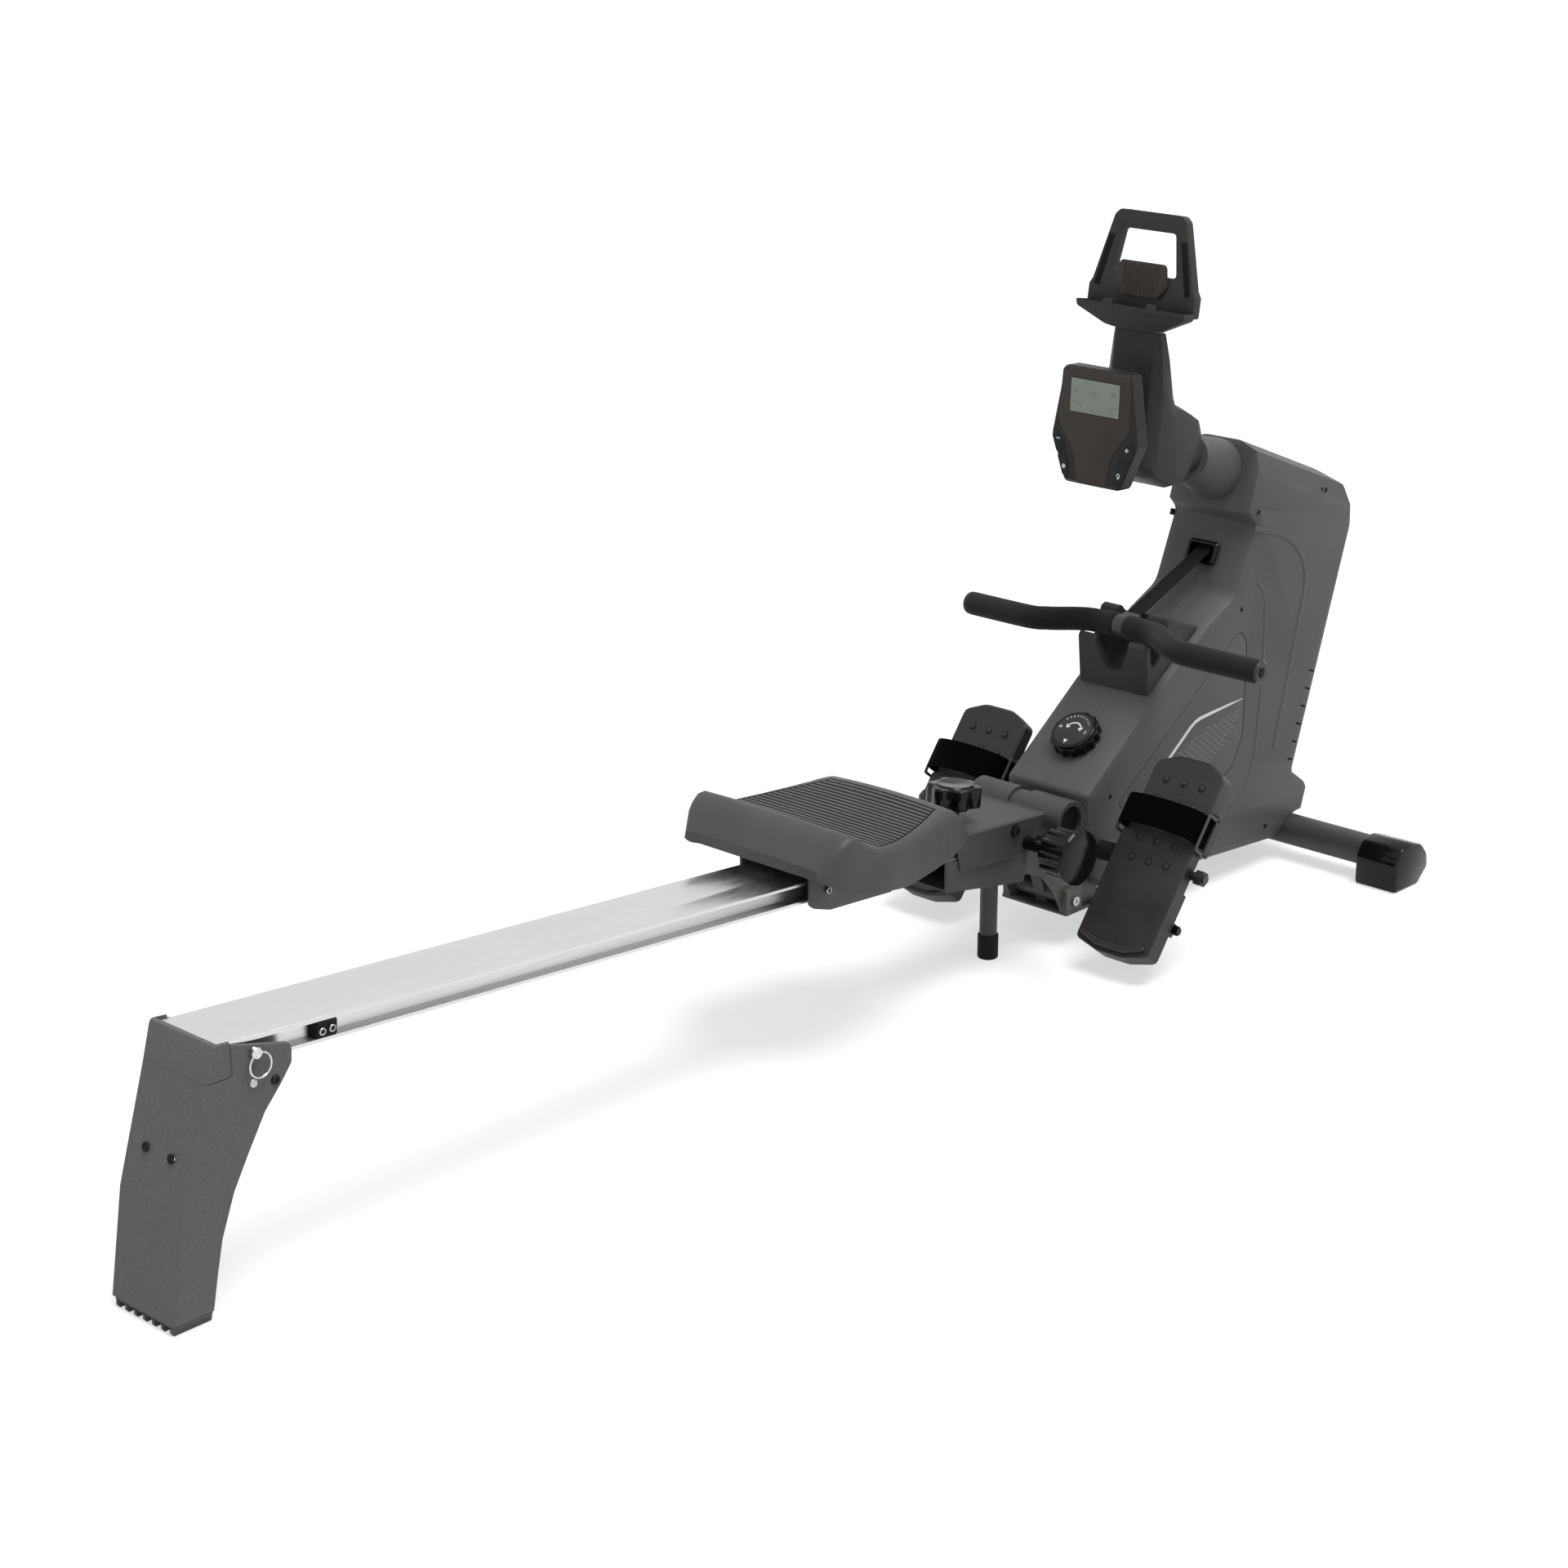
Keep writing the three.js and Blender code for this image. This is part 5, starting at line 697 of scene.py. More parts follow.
# %% Digits and arcs
SEGMENTS = {"0": "abcdef", "1": "bc", "2": "abged", "3": "abgcd", "4": "fgbc", "5": "afgcd", "6": "afgedc"}
BARS = {"a": (0, 1, 1), "g": (0, 0, 1), "d": (0, -1, 1), "f": (1, 0.5, 0), "b": (-1, 0.5, 0)}
BARS.update({"e": (1, -0.5, 0), "c": (-1, -0.5, 0)})
INK = FACE - 0.9


def digit(which, y, z, height):
    """The seven-segment form of one digit, drawn round its middle."""
    bm = bmesh.new()
    half, width = height / 2, height / 4
    for name in SEGMENTS[which]:
        across, up, flat_bar = BARS[name]
        size = (0.1, width * 1.7, height / 13) if flat_bar else (0.1, height / 13, half * 0.85)
        block(bm, (INK, y + across * width, z + up * half), size)
    return bm


def arc(y, z, radius, start, end):
    """A thin arc, between two angles from straight up."""
    corners = [(y + across, z + up) for up, across in round_points(radius, range(start, end + 1, 10))]
    return plate("x", ribbon(corners, 0.9), INK - 0.05, INK + 0.05)


LARGE = [("1", 33, 53), ("2", 28.5, 53), ("0", 6, 50), ("3", 1.5, 50), ("4", -3, 50)]
LARGE += [("5", -27, 54), ("6", -31.5, 54)]
SMALL = [("2", 4, 28), ("4", 1, 28), ("1", 30, 29), ("3", -28, 30)]
marks = [digit(*shown, height) for row, height in ((LARGE, 6.5), (SMALL, 4.2)) for shown in row]
marks += [arc(31, 25, 13, -60, 20), arc(-31, 24, 14, -30, 50)]
finished("console_segments", marks, CONSOLE, lcd_ink, "console")

# %% Marks on the keys
KEY_FACE = FACE - 1
MARK_PROUD = 0.15
MARK_RADIUS = 2.2


def bars(*bars_told):
    """Small raised bars on a key."""
    bm = bmesh.new()
    for y, z, wide, high in bars_told:
        block(bm, (KEY_FACE - 0.05, y, z), (0.2, wide, high))
    return bm


dot = spun([[0, -0.1], [2.9, -0.1], [2.9, MARK_PROUD], [0, MARK_PROUD]], (KEY_FACE, 44, -48), (-1, 0, 0), 24)
turn = [(across - 43.5, up - 47) for up, across in round_points(MARK_RADIUS, range(-150, 121, 30))]
loop = plate("x", ribbon(turn, 1.2), KEY_FACE - MARK_PROUD, KEY_FACE)
tip = plate("x", [[-43, -52.4], [-46.6, -49.4], [-42.2, -48]], KEY_FACE - MARK_PROUD, KEY_FACE)
for name, mark, body in (
    ("minus", bars((55, -13, 5, 1.7)), "key_ul"),
    ("plus", bars((-55, -13, 5.4, 1.8), (-55, -13, 1.8, 5.4)), "key_ur"),
    ("dot", dot, "key_ll"),
    ("return", [loop, tip], "key_lr"),
):
    finished("key_mark_" + name, mark, CONSOLE, white_ink, body)
print("console marks", len(marks))

# %% [markdown]
# ## The tablet holder
# A tablet leans on a rubber pad in the middle and on two ribbed rubber strips on the uprights, and two small
# tabs at the lip keep it from sliding. The pad has staggered rows of short raised bars.

# %% Frame and tray
WINDOW = [[42.5, 118, 5], [51.5, 62, 5]]
OUTER = [[48, 141, 8], [56, 134, 8], [67, 94, 10], [79, 50, 6]]
OUTER += [[84, 42, 4], [84, 16, 3], [46, 8, 8], [37, -2, 6]]
HOLDER_BACK, HOLDER_FACE = 10, -4

window_frame = together(
    flat("x", mirrored_outline(OUTER), HOLDER_BACK), flat("x", mirrored_outline(WINDOW), HOLDER_BACK)
)
bmesh.ops.delete(window_frame, geom=window_frame.faces[:], context="FACES_ONLY")
bmesh.ops.bridge_loops(window_frame, edges=window_frame.edges[:])
pushed(window_frame, (HOLDER_FACE - HOLDER_BACK, 0, 0))
rims = [e for e in window_frame.edges if abs(e.calc_face_angle(0)) > radians(60)]
rims = [e for e in rims if abs(e.verts[0].co.x - e.verts[1].co.x) < SAME]
soften(window_frame, rims, 2.2)

LIP, LIP_TOP = -27, 22
LIP_LEAN = 0.45
TRAY = [[85, LIP_TOP], [86, 13, 3], [44, -6, 14], [30, -8, 10]]
TRAY_WALL, TRAY_DEPTH = 2.6, 7
tray = plate("x", mirrored_outline(TRAY), LIP, HOLDER_FACE + 0.5)
for v in tray.verts:
    if abs(v.co.x - LIP) < SAME:
        v.co.x += (LIP_TOP - v.co.z) * LIP_LEAN
outward(tray)
top = max(tray.faces, key=lambda f: f.calc_center_median().z)
bmesh.ops.inset_region(tray, faces=[top], thickness=TRAY_WALL)
bmesh.ops.translate(tray, vec=(0, 0, -TRAY_DEPTH), verts=top.verts[:])
soften(tray, [e for e in tray.edges if abs(e.calc_face_angle(0)) > radians(50)], 0.7)
KNUCKLE = [[0, -11], [6.4, -11], [7, -10.4], [7, 10.4], [6.4, 11], [0, 11]]
knuckles = twins(KNUCKLE, (0, 25.5, 0), 24)
stem = plate("x", [[36, 10], [36, 3], [15, 3], [15, 10]], HOLDER_FACE, HOLDER_BACK - 3, 0.6)
whole = [window_frame, tray, both_sides(stem), *knuckles]
finished("tablet_holder_frame", whole, HOLDER, dark_nylon, "tablet_holder", ("tablet_frame",), 35)

# %% Pad, strips and tabs
PAD_BACK, PAD_FACE = -4.3, -9.2
PAD_PITCH_Y, PAD_PITCH_Z = 6.5, 4.4
PAD = [[33, 78, 4], [36.5, 74, 4], [40.5, 50, 4], [38, 45, 4], [28, 34, 3]]
pad = plate("x", mirrored_outline(PAD), PAD_FACE, PAD_BACK, 1.2, "start")
short_bars = bmesh.new()
for row in range(9):
    for column in range(-4, 5):
        y, z = column * PAD_PITCH_Y, 39 + (row + (column % 2) / 2) * PAD_PITCH_Z
        if abs(y) < 27 - max(0, 46 - z) * 0.4 and z < 75:
            block(short_bars, (PAD_FACE, y, z), (2.2, 2.8, 2.2))
finished("tablet_rubber_pad", [pad, short_bars], HOLDER, pad_rubber, "tablet_holder", ("tablet_pad",))

STRIP = [(56.5, 108), (72, 42)]
strips = [
    plate("x", ribbon([(y + d, z) for y, z in STRIP], 1.7), -5, -3.4, 0.5, "start") for d in (-2.7, 0, 2.7)
]
base = plate("x", ribbon(STRIP, 9), -4.3, -3.6, 0.2, "start")
finished("tablet_strips", both_sides(together(base, *strips)), HOLDER, rubber, "tablet_holder")

TAB = [[26, 19, 1], [28.5, 28, 1.5], [41, 27, 1.5], [43.5, 19, 1]]
tab = plate("x", TAB, LIP - 0.4, LIP + 2.4, 0.8)
finished("tablet_tabs", both_sides(tab), HOLDER, dark_nylon, "tablet_holder")
print("tray lip at", LIP, "pad face at", PAD_FACE)

# %% [markdown]
# ## Knobs
# Three knobs are moulded in glossy ABS. The rail clamp has six lobes and a dished top, the hinge lock has a
# fluted barrel with a domed disc, and the resistance knob has a fluted skirt, a textured disc and printed
# marks. Each body is a circle whose edge is pulled in between the lobes, pushed up and bevelled.

# %% Fluted bodies
def fluted(lobes, radius, depth, height, rim, share=0.5):
    """A round body with lobes. The grooves between them take this share of the edge."""
    bm = bmesh.new()
    bmesh.ops.create_circle(bm, cap_ends=True, radius=radius, segments=lobes * 12)
    for v in bm.verts:
        swing = 0.5 - 0.5 * cos(lobes * atan2(v.co.y, v.co.x))
        v.co.xy *= 1 - depth / radius * min(1, swing / (2 * share)) ** 1.5
    pushed(bm, (0, 0, height))
    soften(bm, [e for e in bm.edges if abs(e.verts[0].co.z - e.verts[1].co.z) < SAME], rim)
    return bm


CLAMP_AT = (203, 0, 0)
CLAMP_SCREW = [[0, -10], [5, -10], [5, 5.6], [13, 5.6], [13, 8.6], [8.5, 9.6], [8.5, 25.5], [0, 25.5]]
CLAMP_DISH = [[0, 52.2], [17, 53.2], [21, 54.2], [23.5, 54], [26, 52.2], [26, 51.8], [0, 51.8]]
lobes = stood(fluted(6, 35, 6.5, 27, 3.2, 0.42), (CLAMP_AT[0], 0, 25))
clamp = [lobes, spun(CLAMP_SCREW, CLAMP_AT), spun(CLAMP_DISH, CLAMP_AT)]
finished("clamp_knob_body", clamp, RAIL, polished_black, "clamp_knob", ("rail_clamp_knob",), 30)

LOCK_AT = (291, 0, -28.3)
OUT, IN = (0, -1, 0), (0, 1, 0)
DOME = [
    [0, 133], [36, 133], [37, 134.5], [37, 136.5], [35.5, 139], [30, 141], [22, 142.2], [10, 142.9], [0, 143],
]
LOCK_SCREW = [[0, -57], [5, -57], [5, 53.2], [8.5, 53.2], [8.5, 96], [0, 96]]
LOCK_NUT = [[5, 53.3], [8.8, 53.3], [9.2, 54], [9.2, 58.6], [8.6, 59.3], [5, 59.3], [5, 53.3]]
barrel = stood(fluted(10, 32, 3, 41, 2, 0.35), (LOCK_AT[0], -95.5, LOCK_AT[2]), OUT)
rounds = ((DOME, OUT, 48), (LOCK_SCREW, OUT, 24), (LOCK_NUT, IN, 6))
lock = [barrel] + [spun(profile, LOCK_AT, way, steps) for profile, way, steps in rounds]
finished("lock_knob_body", lock, RAIL, polished_black, "lock_knob", ("hinge_lock_knob",), 30)

# %% Resistance knob
COLLAR = [[0, 14], [30.5, 14], [31, 15], [31, 17.2], [30.2, 18.6], [28.6, 19.2], [26.4, 18.6], [0, 18.6]]
DISC = [[0, 18.5], [26.2, 18.5], [26.2, 19.1], [25.8, 19.3], [0, 19.3]]
skirt = stood(fluted(14, 34, 2.4, 13.6, 1.3, 0.4), (0, 0, 1.4))
knob_spindle = spun([[0, -16], [4, -16], [4, 2], [0, 2]], steps=16)
knob = [skirt, spun(COLLAR, steps=64), knob_spindle]
finished("resistance_knob_body", knob, KNOB, polished_black, "resistance", ("resistance_knob",), 30)
finished("resistance_knob_disc", spun(DISC, steps=64), KNOB, knob_disc, "resistance")

# %% Marks on the resistance knob
PRINT_LOW, PRINT_HIGH = 19.25, 19.45
SWEEP_RADIUS, SWEEP_WIDTH = 11, 2
TIP_START, TIP_END, TIP_HALF = 64, 92, 4.2
SIGN_AT, SIGN_LONG, SIGN_THICK = 20, 5.2, 1.2
RAYS, RAY_STEP = 9, 13

shapes = [ribbon(round_points(SWEEP_RADIUS, range(-60, 61, 10)), SWEEP_WIDTH)]
for way in (-1, 1):
    corners = round_points(SWEEP_RADIUS, [way * TIP_END])
    corners += [round_points(SWEEP_RADIUS + s * TIP_HALF, [way * TIP_START])[0] for s in (1, -1)]
    shapes.append(corners[::way])
shapes.append([(-24, 0), (-17.5, 3.2), (-17.5, -3.2)])
shapes.append(rectangle(0, -SIGN_AT, SIGN_LONG, SIGN_THICK))
shapes.append(rectangle(0, SIGN_AT, SIGN_LONG, SIGN_THICK))
shapes.append(rectangle(0, SIGN_AT, SIGN_THICK, SIGN_LONG))
for k in range(RAYS):
    angle = RAY_STEP * (k - RAYS // 2)
    ends = [round_points(radius, [angle])[0] for radius in (21, 23.5)]
    shapes.append(ribbon(ends, 0.6 + 0.1 * k))
knob_marks = [plate("z", corners, PRINT_LOW, PRINT_HIGH) for corners in shapes]
finished("resistance_knob_marks", knob_marks, KNOB, white_ink, "resistance")
print("knobs 3, marks", len(knob_marks))

# %% [markdown]
# ## Handle and pull belt
# The handle is a bent steel bar with two foam sleeves, closed with turned caps. A sleeve is circles along
# the bar's line, joined by bridges, and drawn in at its two ends. The real belt unrolls from its spool when
# the handle moves; here the belt is one straight band in its place, tied to no body.

# %% Foam sleeves
BAR_LINE = [
    [0, 0, 0], [24, 1, -1], [38, 2, -2], [60, -4, -2],
    [104, -30, -4], [122, -36, -5], [170, -32, -7], [240, -24, -10],
]
BAR_LENGTH = BAR_LINE[-1][0]
GRIP_RADIUS = 15.8
GRIP_START, GRIP_END = 8.2, 236.5
DRAW_IN, DRAW_LENGTH = 1.8, 3.5
RING_POINTS = 32


def sleeve(side):
    """A round skin along the bar's line, thinner at its two ends."""
    rings = []
    ends = [0, 0.7, 1.8, DRAW_LENGTH]
    places = [GRIP_START + k for k in ends] + [GRIP_START + 8 * k for k in range(1, 28)]
    places += [GRIP_END - k for k in reversed(ends)]
    for y in places:
        _, x, z = smooth_line(BAR_LINE, y)
        ahead, behind = smooth_line(BAR_LINE, min(y + 2, BAR_LENGTH)), smooth_line(BAR_LINE, max(y - 2, 0))
        along = Vector([ahead[k] - behind[k] for k in (1, 0, 2)]).normalized()
        from_end = min(y - GRIP_START, GRIP_END - y)
        radius = GRIP_RADIUS - DRAW_IN * (1 - min(from_end, DRAW_LENGTH) / DRAW_LENGTH) ** 2
        turn = Vector((0, 1, 0)).rotation_difference(along)
        circle = round_points(radius, [360 * k / RING_POINTS for k in range(RING_POINTS)])
        ring = [Vector((x, y, z)) + turn @ Vector((b, 0, a)) for a, b in circle]
        rings.append([(point.x, side * point.y, point.z) for point in ring])
    return closed_tube(rings)


for word, side in SIDES.items():
    finished("handle_sleeve_" + word, sleeve(side), HANDLE, foam, "handle", ("grip_" + word,))

# %% End caps and centre collar
CAP = [
    [0, -1], [15.2, -1], [15.6, 0.4], [15.2, 2.6], [13.8, 3.9],
    [12.4, 4], [10.6, 2.6], [7, 1.9], [6.2, 0.4], [0, 0.4],
]
CORE = [[0, 3.2], [7, 3.2], [7, 4], [5.6, 4.4], [0, 4.4]]
BAR_END, END_LEAN = (-23.9, GRIP_END, -9.9), (0.113, -0.042)
finished("handle_end_caps", twins(CAP, BAR_END, 40, END_LEAN), HANDLE, dark_coat, "handle")
finished("handle_cap_cores", twins(CORE, BAR_END, 24, END_LEAN), HANDLE, rubber, "handle")
collar = spun([[0, -8], [13.4, -8], [14.4, -7], [14.4, 7], [13.4, 8], [0, 8]], (0.4, 0, -0.3), (0, 1, 0), 40)
tongue = plate("z", [[10, -13.5, 2], [26, -13.5, 4], [26, 13.5, 4], [10, 13.5, 2]], -3.6, 3.6, 1.2)
rise = Matrix.Rotation(radians(-BELT_RISE), 3, "Y")
bmesh.ops.rotate(tongue, cent=(0, 0, 0), matrix=rise, verts=tongue.verts)
finished("handle_belt_clamp", [collar, tongue], HANDLE, light_coat, "handle", ("belt_clamp",))

# %% Pull belt
BELT_START, BELT_END, BELT_STEP = 22, 276, 6
loop = [(-11.4, -1.1), (-12, -0.5), (-12, 0.5), (-11.4, 1.1), (11.4, 1.1), (12, 0.5), (12, -0.5), (11.4, -1.1)]
belt = closed_tube([[(x, y, z) for y, z in loop] for x in range(BELT_START, BELT_END + 1, BELT_STEP)])
belt_piece = finished("pull_belt_webbing", belt, BELT, webbing, None, ("pull_belt",))
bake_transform(belt_piece)

# %% [markdown]
# ## Cross tube and footplates
# The hinge runs through a large cross tube, whose open ends are shaded inside: a black disc and lining set
# into each end are painted shade there. Low studs keep a shoe from sliding on the footplates, a thin black
# ring of painted shadow lies round the foot of each, and guides at their edges hold the straps.

# %% Cross tube
HINGE = (352, 0, -7)
TUBE_HALF = 75.5
TUBE = [[24.8, 12], [28, 12], [28, TUBE_HALF - 0.6], [27.4, TUBE_HALF], [24.8, TUBE_HALF], [24.8, 12]]
# A black disc and a thin lining inside each open tube end: painted shade.
END_SHADE_LINING = [[0, 68], [24.7, 68], [24.7, 75], [24.1, 75], [24.1, 69], [0, 69]]
sleeves, end_shade_linings = twins(TUBE, HINGE, 64), twins(END_SHADE_LINING, HINGE, 48)
finished("cross_tube_sleeves", sleeves, RAIL, light_coat, "rail_assembly", (), 30)
finished("cross_tube_end_shade", end_shade_linings, RAIL, rubber, "rail_assembly")

# %% Studs on the footplates
STUD = [[0, -0.5], [4.6, -0.5], [4.6, 0.4], [4.2, 0.9], [3.7, 0.9]]
STUD += [[3.4, 1.6], [2.6, 2.3], [1.4, 2.7], [0, 2.8]]
# A thin black ring round the foot of each stud: painted shadow.
STUD_SHADOW_RING = [[4.7, -0.2], [5.4, -0.2], [5.4, 0.25], [4.7, 0.25], [4.7, -0.2]]
STUD_PITCH = 27.8
PEDAL_CENTRE = 162.5
for word, side in SIDES.items():
    for name, body, face, *levels in (("toe", "pedal_", -21, 81, 109), ("heel", "heel_", -24.3, 24.6, -3.2)):
        at = [(face, side * (PEDAL_CENTRE + STUD_PITCH * k), z) for k in (-1, 0, 1) for z in levels]
        studs = [spun(STUD, place, (-1, 0, 0), 20) for place in at]
        finished(f"{name}_studs_{word}", studs, PEDAL, pedal_nylon, body + word)
        # Painted shadow: a black ring at the foot of each stud.
        rings = [spun(STUD_SHADOW_RING, place, (-1, 0, 0), 20) for place in at]
        finished(f"{name}_stud_shadow_rings_{word}", rings, PEDAL, rubber, body + word)
print("studs", 4 * len(at))

# %% Strap guides
GUIDE = [[-6, 25, 1], [-6, 29], [-29, 29, 2], [-29, 74, 2], [-6, 74], [-6, 78, 1], [-33, 78, 4], [-33, 25, 4]]
GUIDE_INNER, GUIDE_OUTER = 61.2, 64
for word, side in SIDES.items():
    spans = [sorted(side * (PEDAL_CENTRE + k * edge) for edge in (GUIDE_INNER, GUIDE_OUTER)) for k in (1, -1)]
    guides = [plate("y", GUIDE, low, high, 0.8) for low, high in spans]
    finished(f"strap_guides_{word}", guides, PEDAL, light_coat, "pedal_" + word, (), 30)

# %% [markdown]
# ## Rear foot and screws
# The foot stands on seven thin fins. A ball-lock pin with a wire ring holds it open, a rivet on each side
# sits below the pin, and two plugs close the holes in its back. It turns on a bolt under the rail. Screws
# hold the rail stops and the seat carriage, and bolts hold the bracket.

# %% Fins, pin and plugs
FOOT_SIDE = 52.8
FOOT_FLOOR = 12
BASE = [[-1060.5, -51, 3], [-1012, -51, 3], [-1012, 51, 3], [-1060.5, 51, 3]]
FIN = [[-1061.5, 9], [-1061.5, 3, 2], [-1059, 0, 1], [-1012, 0, 1], [-1010.5, 9]]
FIN_PITCH, FIN_HALF = 15, 1.6
base_pad = plate("z", BASE, 8.5, FOOT_FLOOR, 0.6)
fins = [plate("y", FIN, k * FIN_PITCH - FIN_HALF, k * FIN_PITCH + FIN_HALF) for k in range(-3, 4)]
finished("foot_fins", together(base_pad, *fins), MACHINE, foot_abs, "foot", ("foot_sole",), 30)

PIN = (-945.5, -FOOT_SIDE, 277)
RING_RADIUS, WIRE_RADIUS = 13.5, 1.15
wire = bmesh.new()
turn = Matrix.Translation((RING_RADIUS, 0, 0)) @ Matrix.Rotation(radians(90), 4, "X")
bmesh.ops.create_circle(wire, radius=WIRE_RADIUS, segments=10, matrix=turn)
stood(turned(wire, 48), (PIN[0] + 4, PIN[1] - 6, PIN[2] - 14), (0, 1, 0))
BARREL = [[0, -14], [4, -14], [4, 0.3], [5.8, 0.3], [6.3, 1]]
BARREL += [[6.3, 6.6], [5.6, 7.6], [3, 7.9], [2.6, 7.2], [0, 7.2]]
pin = together(wire, spun(BARREL, PIN, (0, -1, 0), 28))
finished("lock_pin_and_ring", pin, MACHINE, chrome, "lock_pin", ("ball_lock_pin",), 30)

BUTTON_HEAD = [[0, -0.3], [5, -0.3], [5, 0.5], [4.3, 1.7], [2.8, 2.3], [0, 2.5]]
finished("foot_rivets", twins(BUTTON_HEAD, (-947.3, FOOT_SIDE, 243), 24), MACHINE, zinc, "foot")
PLUG = [[0, -0.6], [5.2, -0.6], [5.2, 0.4], [4.6, 0.8], [4, 0.2], [0, -0.1]]
plugs = [spun(PLUG, (-1030.6, y, 178), (-0.957, 0, 0.29), 24) for y in (21, -21)]
finished("foot_plugs", plugs, MACHINE, rubber, "foot")

# %% Foot hinge
RAIL_DEPTH, LUG_OUT, LUG_IN = 28.3, 45, 41
pivot_at = RAIL.inverted() @ MACHINE @ Vector((-920, 0, 238))
u, w = pivot_at.x, pivot_at.z
LUG = [[u - 26, -RAIL_DEPTH - 1], [u + 26, -RAIL_DEPTH - 1], [u + 11, w - 9, 8], [u - 11, w - 9, 8]]
lugs = plate("y", LUG, LUG_IN, LUG_OUT, 0.8)
base = plate("z", rectangle(u, 0, 52, 90), -RAIL_DEPTH - 3.2, -RAIL_DEPTH, 0.8)
PIVOT = [[0, -FOOT_SIDE], [5, -FOOT_SIDE], [5, FOOT_SIDE], [0, FOOT_SIDE]]
axle = spun(PIVOT, (u, 0, w), (0, 1, 0), 32)
PIVOT_HEAD = [[0, 0.3], [5.2, 0.3], [5.2, 1.2], [4.4, 2.4], [2.6, 2.4], [2.2, 1.2], [0, 1.2]]
hinge = [both_sides(lugs), base, axle, *twins(PIVOT_HEAD, (u, FOOT_SIDE, w), 28)]
finished("foot_hinge", hinge, RAIL, satin_black, "rail_assembly", ("foot_hinge_bracket",), 30)

# %% Screws of the rail stops and the seat carriage
SCREW = [[0, -0.3], [4.2, -0.3], [4.2, 0.8], [3.8, 1.4], [3.1, 1.4], [2.7, 0.4], [0, 0.4]]
# A black hexagon at the floor of each screw's socket: painted shade in the hole.
SOCKET_SHADE = [[0, 0.3], [2.6, 0.3], [2.6, 0.8], [0, 0.8]]
for word, body, places in (
    ("stop", "rail_assembly", [(-856, 51.4, 270), (-843, 51.4, 270)]),
    ("carriage", "seat", [(-96.8, 61.1, 213.9)]),
):
    for name, profile, steps, metal in (("s", SCREW, 24, zinc), ("_socket_shade", SOCKET_SHADE, 6, satin_black)):
        pieces = [piece for place in places for piece in twins(profile, place, steps)]
        finished(f"{word}_screw{name}", pieces, MACHINE, metal, body, (), 30)

# %% Bolts on the bracket
BOLT_HEAD = [[0, -0.3], [7.4, -0.3], [7.4, 0.7], [6.4, 0.9], [6.4, 4.2], [5.6, 5], [0, 5]]
WASHER = [[0, 0], [8.2, 0], [8.2, 1], [0, 1]]
BOLT_AT = (265, 53, -7.2)
bolts = twins(BOLT_HEAD, BOLT_AT, 6)
finished("bracket_bolts", bolts + twins(WASHER, BOLT_AT, 32), RAIL, satin_black, "rail_assembly", (), 20)
print("fins", len(fins), "bolts", len(bolts))

# %% [markdown]
# ## Pieces that keep their CAD shape
# Folded plates, mouldings with cut-outs and the parts inside the housing already have the right form in the
# CAD. A copy of such a mesh is welded at its doubled corners, and flat areas are dissolved to single faces.
# On the pieces given an edge size, where the CAD edge is sharp, it is bevelled by half a millimetre or so,
# because no real edge is perfect. A star stands for the left and the right one.

# %% Welded copies of CAD pieces
WELD = 2e-6
FLAT_ANGLE, HARD_ANGLE = 0.6, 35


def dressed(node, material, body, edge):
    """A welded copy of a CAD node in its real finish, with its hard edges bevelled by millimetres."""
    bm = bmesh.new()
    bm.from_mesh(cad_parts[node].data)
    bmesh.ops.remove_doubles(bm, verts=bm.verts, dist=WELD)
    bmesh.ops.dissolve_limit(bm, angle_limit=radians(FLAT_ANGLE), verts=bm.verts, edges=bm.edges)
    if edge:
        hard = [e for e in bm.edges if e.is_manifold and abs(e.calc_face_angle(0)) > radians(HARD_ANGLE)]
        soften(bm, hard, edge / 1000, 2)
    finished(node + "_dressed", bm, Matrix.Identity(4), material, body, (node,))


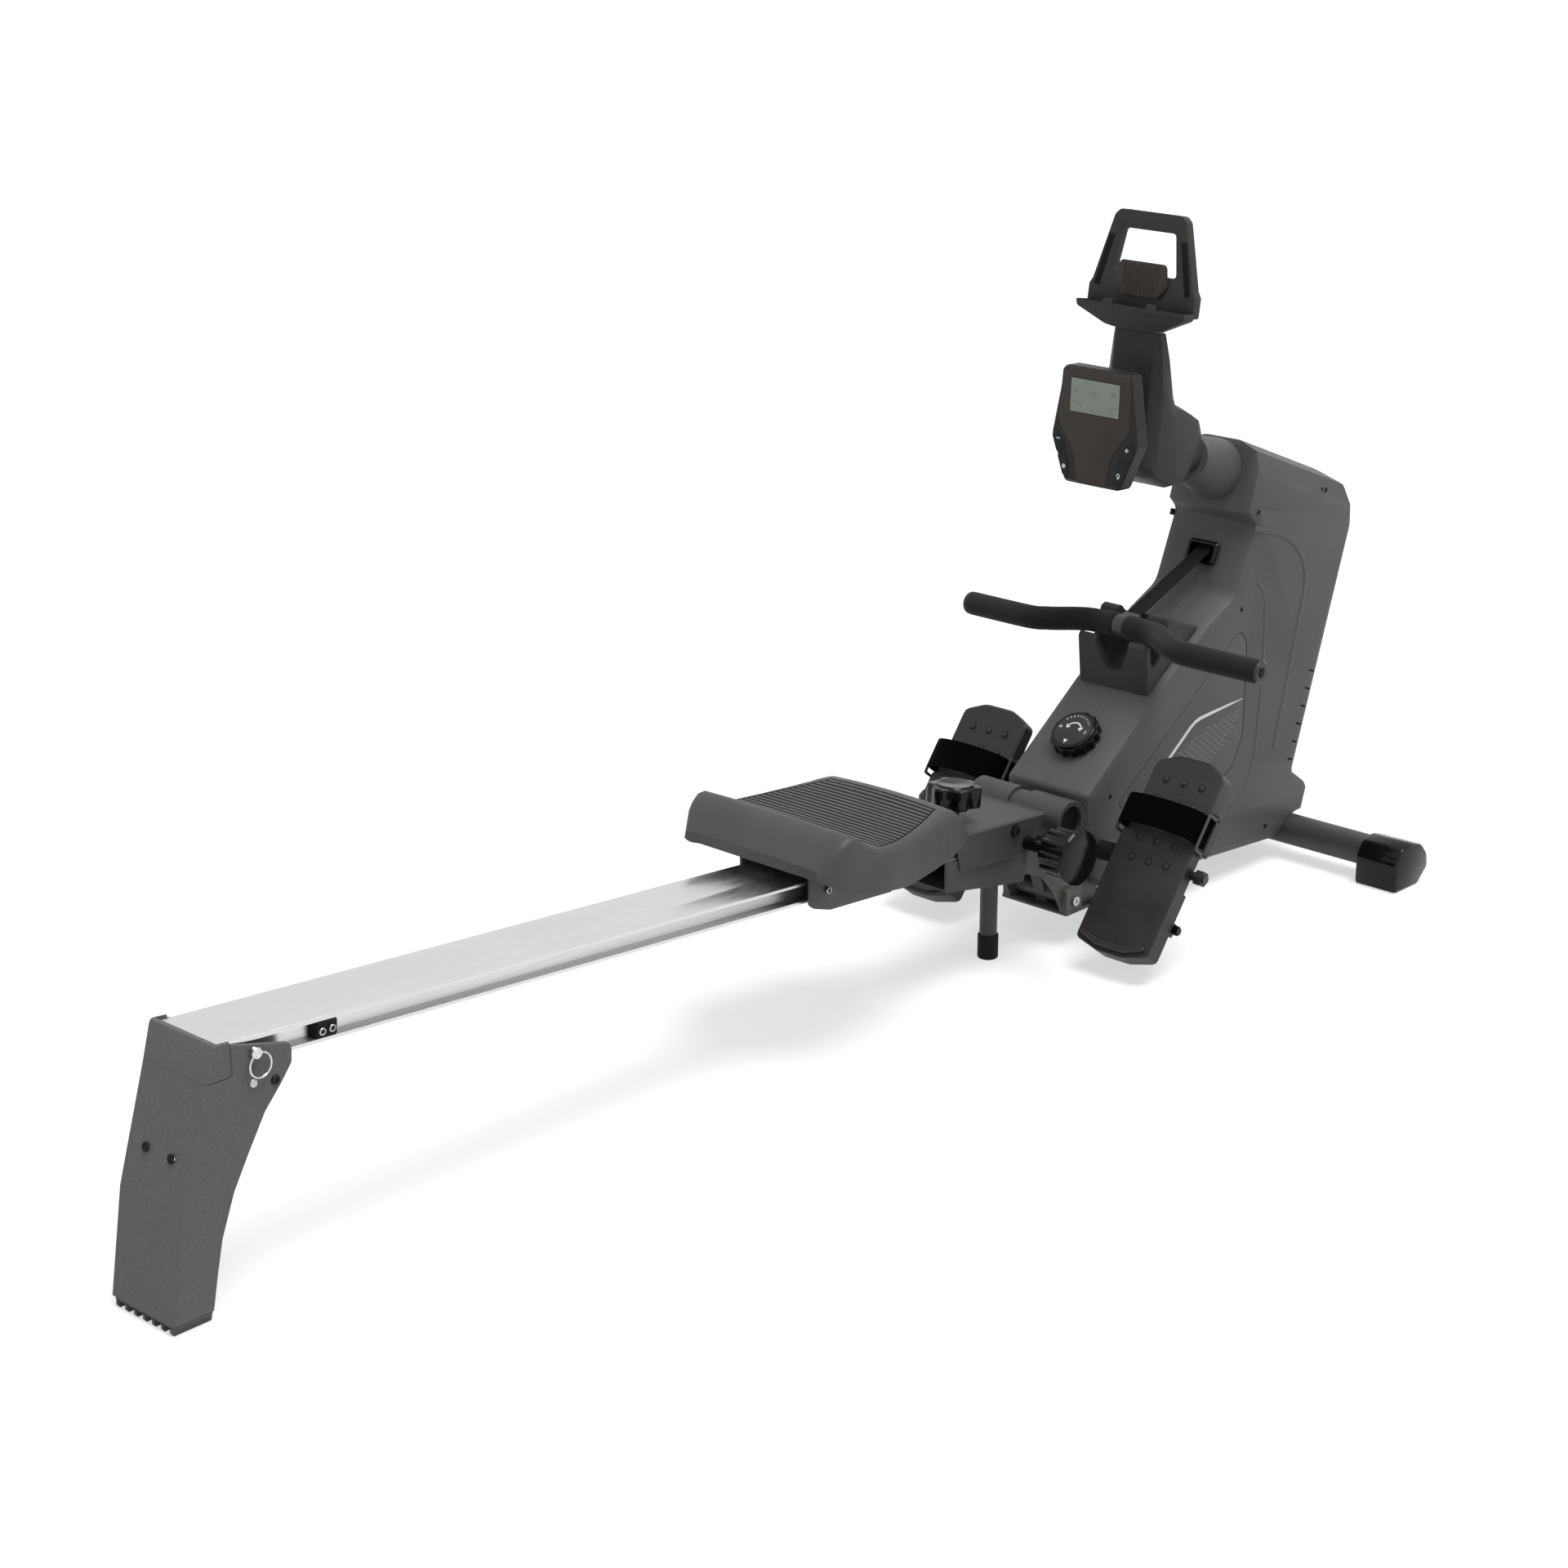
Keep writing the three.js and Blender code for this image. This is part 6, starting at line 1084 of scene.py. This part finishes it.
for material, body, edge, *nodes in (
    (anodised, "rail_assembly", 0.3, "rail"),
    (rubber, "rail_assembly", 0, "rail_stop_*"),
    (light_coat, "rail_assembly", 0, "rail_bracket"),
    (satin_black, "rail_assembly", 0, "hinge_rod"),
    (light_coat, "frame", 0.5, "front_channel"),
    (rubber, "frame", 0.5, "post_foot"),
    (warm_coat, "frame", 0, "main_frame"),
    (zinc, "frame", 0.3, "cross_pin"),
    (light_coat, "frame", 0, "stabiliser_tube"),
    (polished_black, "frame", 0, "stabiliser_cap_*"),
    (housing_abs, "frame", 0, "housing_*"),
    (polished_black, "frame", 0, "belt_bezel"),
    (cast_iron, "frame", 0, "magnet_yoke"),
    (cast_iron, "wheel", 0, "flywheel"),
    (dark_nylon, "spool", 0, "belt_spool"),
    (rubber, "frame", 0, "drive_belt"),
    (dark_nylon, "frame", 0, "mast_shell", "mast_tube"),
    (console_nylon, "console", 0, "console_body"),
    *((satin_black, f"key_{b[0]}{a[0]}", 0, f"key_{b}_{a}") for a in SIDES for b in ("upper", "lower")),
    (light_coat, "handle", 0, "handle_bar"),
    (dark_nylon, "frame", 0, "handle_rest"),
    (carriage_coat, "seat", 0.4, "seat_carriage"),
    *((rubber, f"roller_{a[0]}{b[0]}", 0, f"roller_{a}_{b}") for a in ("rear", "front") for b in SIDES),
    (foot_abs, "foot", 0, "rear_foot", "foot_cap"),
    (dark_coat, "frame", 0, "pedal_axle"),
    (rubber, "frame", 0, "pedal_spacer_*"),
    (pedal_nylon, "pedal_*", 0, "toe_plate_*"),
    (pedal_nylon, "heel_*", 0, "heel_plate_*"),
    (strap_rubber, "pedal_*", 0, "foot_strap_*"),
    (polished_black, "button_*", 0, "heel_button_*"),
):
    for node in nodes:
        for side in SIDES if "*" in node else ("",):
            dressed(node.replace("*", side), material, body.replace("*", side), edge)

# %% [markdown]
# ## Floor and light
# The floor is a wide white sheet. To a camera it adds a little glow, so that the open floor is pure white
# and the shadow stays soft. A broad sun gives the direction, and the world gives an even fill, together
# about one unit, so that a colour looks as bright as it is written.

# %% What the camera and reflections see
def sees_white(tree):
    """A socket that is 1 for rays from the camera, from a reflection and through glass."""
    seen = add(tree, "ShaderNodeLightPath", {}, {})
    value = seen.outputs["Is Camera Ray"]
    for name in ("Is Glossy Ray", "Is Transmission Ray"):
        larger = add(tree, "ShaderNodeMath", {"operation": "MAXIMUM"}, {0: value, 1: seen.outputs[name]})
        value = larger.outputs["Value"]
    return value


# %% Floor
FLOOR_HALF = 60
FLOOR_GLOW = 0.56
floor_bm = bmesh.new()
bmesh.ops.create_grid(floor_bm, x_segments=1, y_segments=1, size=FLOOR_HALF)
floor = placed("floor", as_mesh(floor_bm, "floor"))
paper, tree, shader, places = finish("white_paper_floor", None, "#c4c4c4", 1.0)
glow = add(tree, "ShaderNodeMath", {"operation": "MULTIPLY"}, {0: sees_white(tree), 1: FLOOR_GLOW})
tree.links.new(glow.outputs["Value"], shader.inputs["Emission Strength"])
shader.inputs["Emission Color"].default_value = (1, 1, 1, 1)
floor.data.materials.append(paper)

# %% World and sun
world = bpy.data.worlds.new("studio")
world.use_nodes = True
bpy.context.scene.world = world
tree = world.node_tree
background = tree.nodes["Background"]
background.inputs["Color"].default_value = (1, 1, 1, 1)
FILL, SEEN_WHITE = 0.45, 1.0
level = add(tree, "ShaderNodeMapRange", {}, {"Value": sees_white(tree), "To Min": FILL, "To Max": SEEN_WHITE})
tree.links.new(level.outputs["Result"], background.inputs["Strength"])

sun_data = bpy.data.lights.new("sun", "SUN")
sun_data.energy = 2.65
sun_data.angle = radians(35)
sun = placed("sun", sun_data)
sun.rotation_euler = (radians(15), radians(3), 0)

scene = bpy.context.scene
scene.view_settings.view_transform = "Standard"
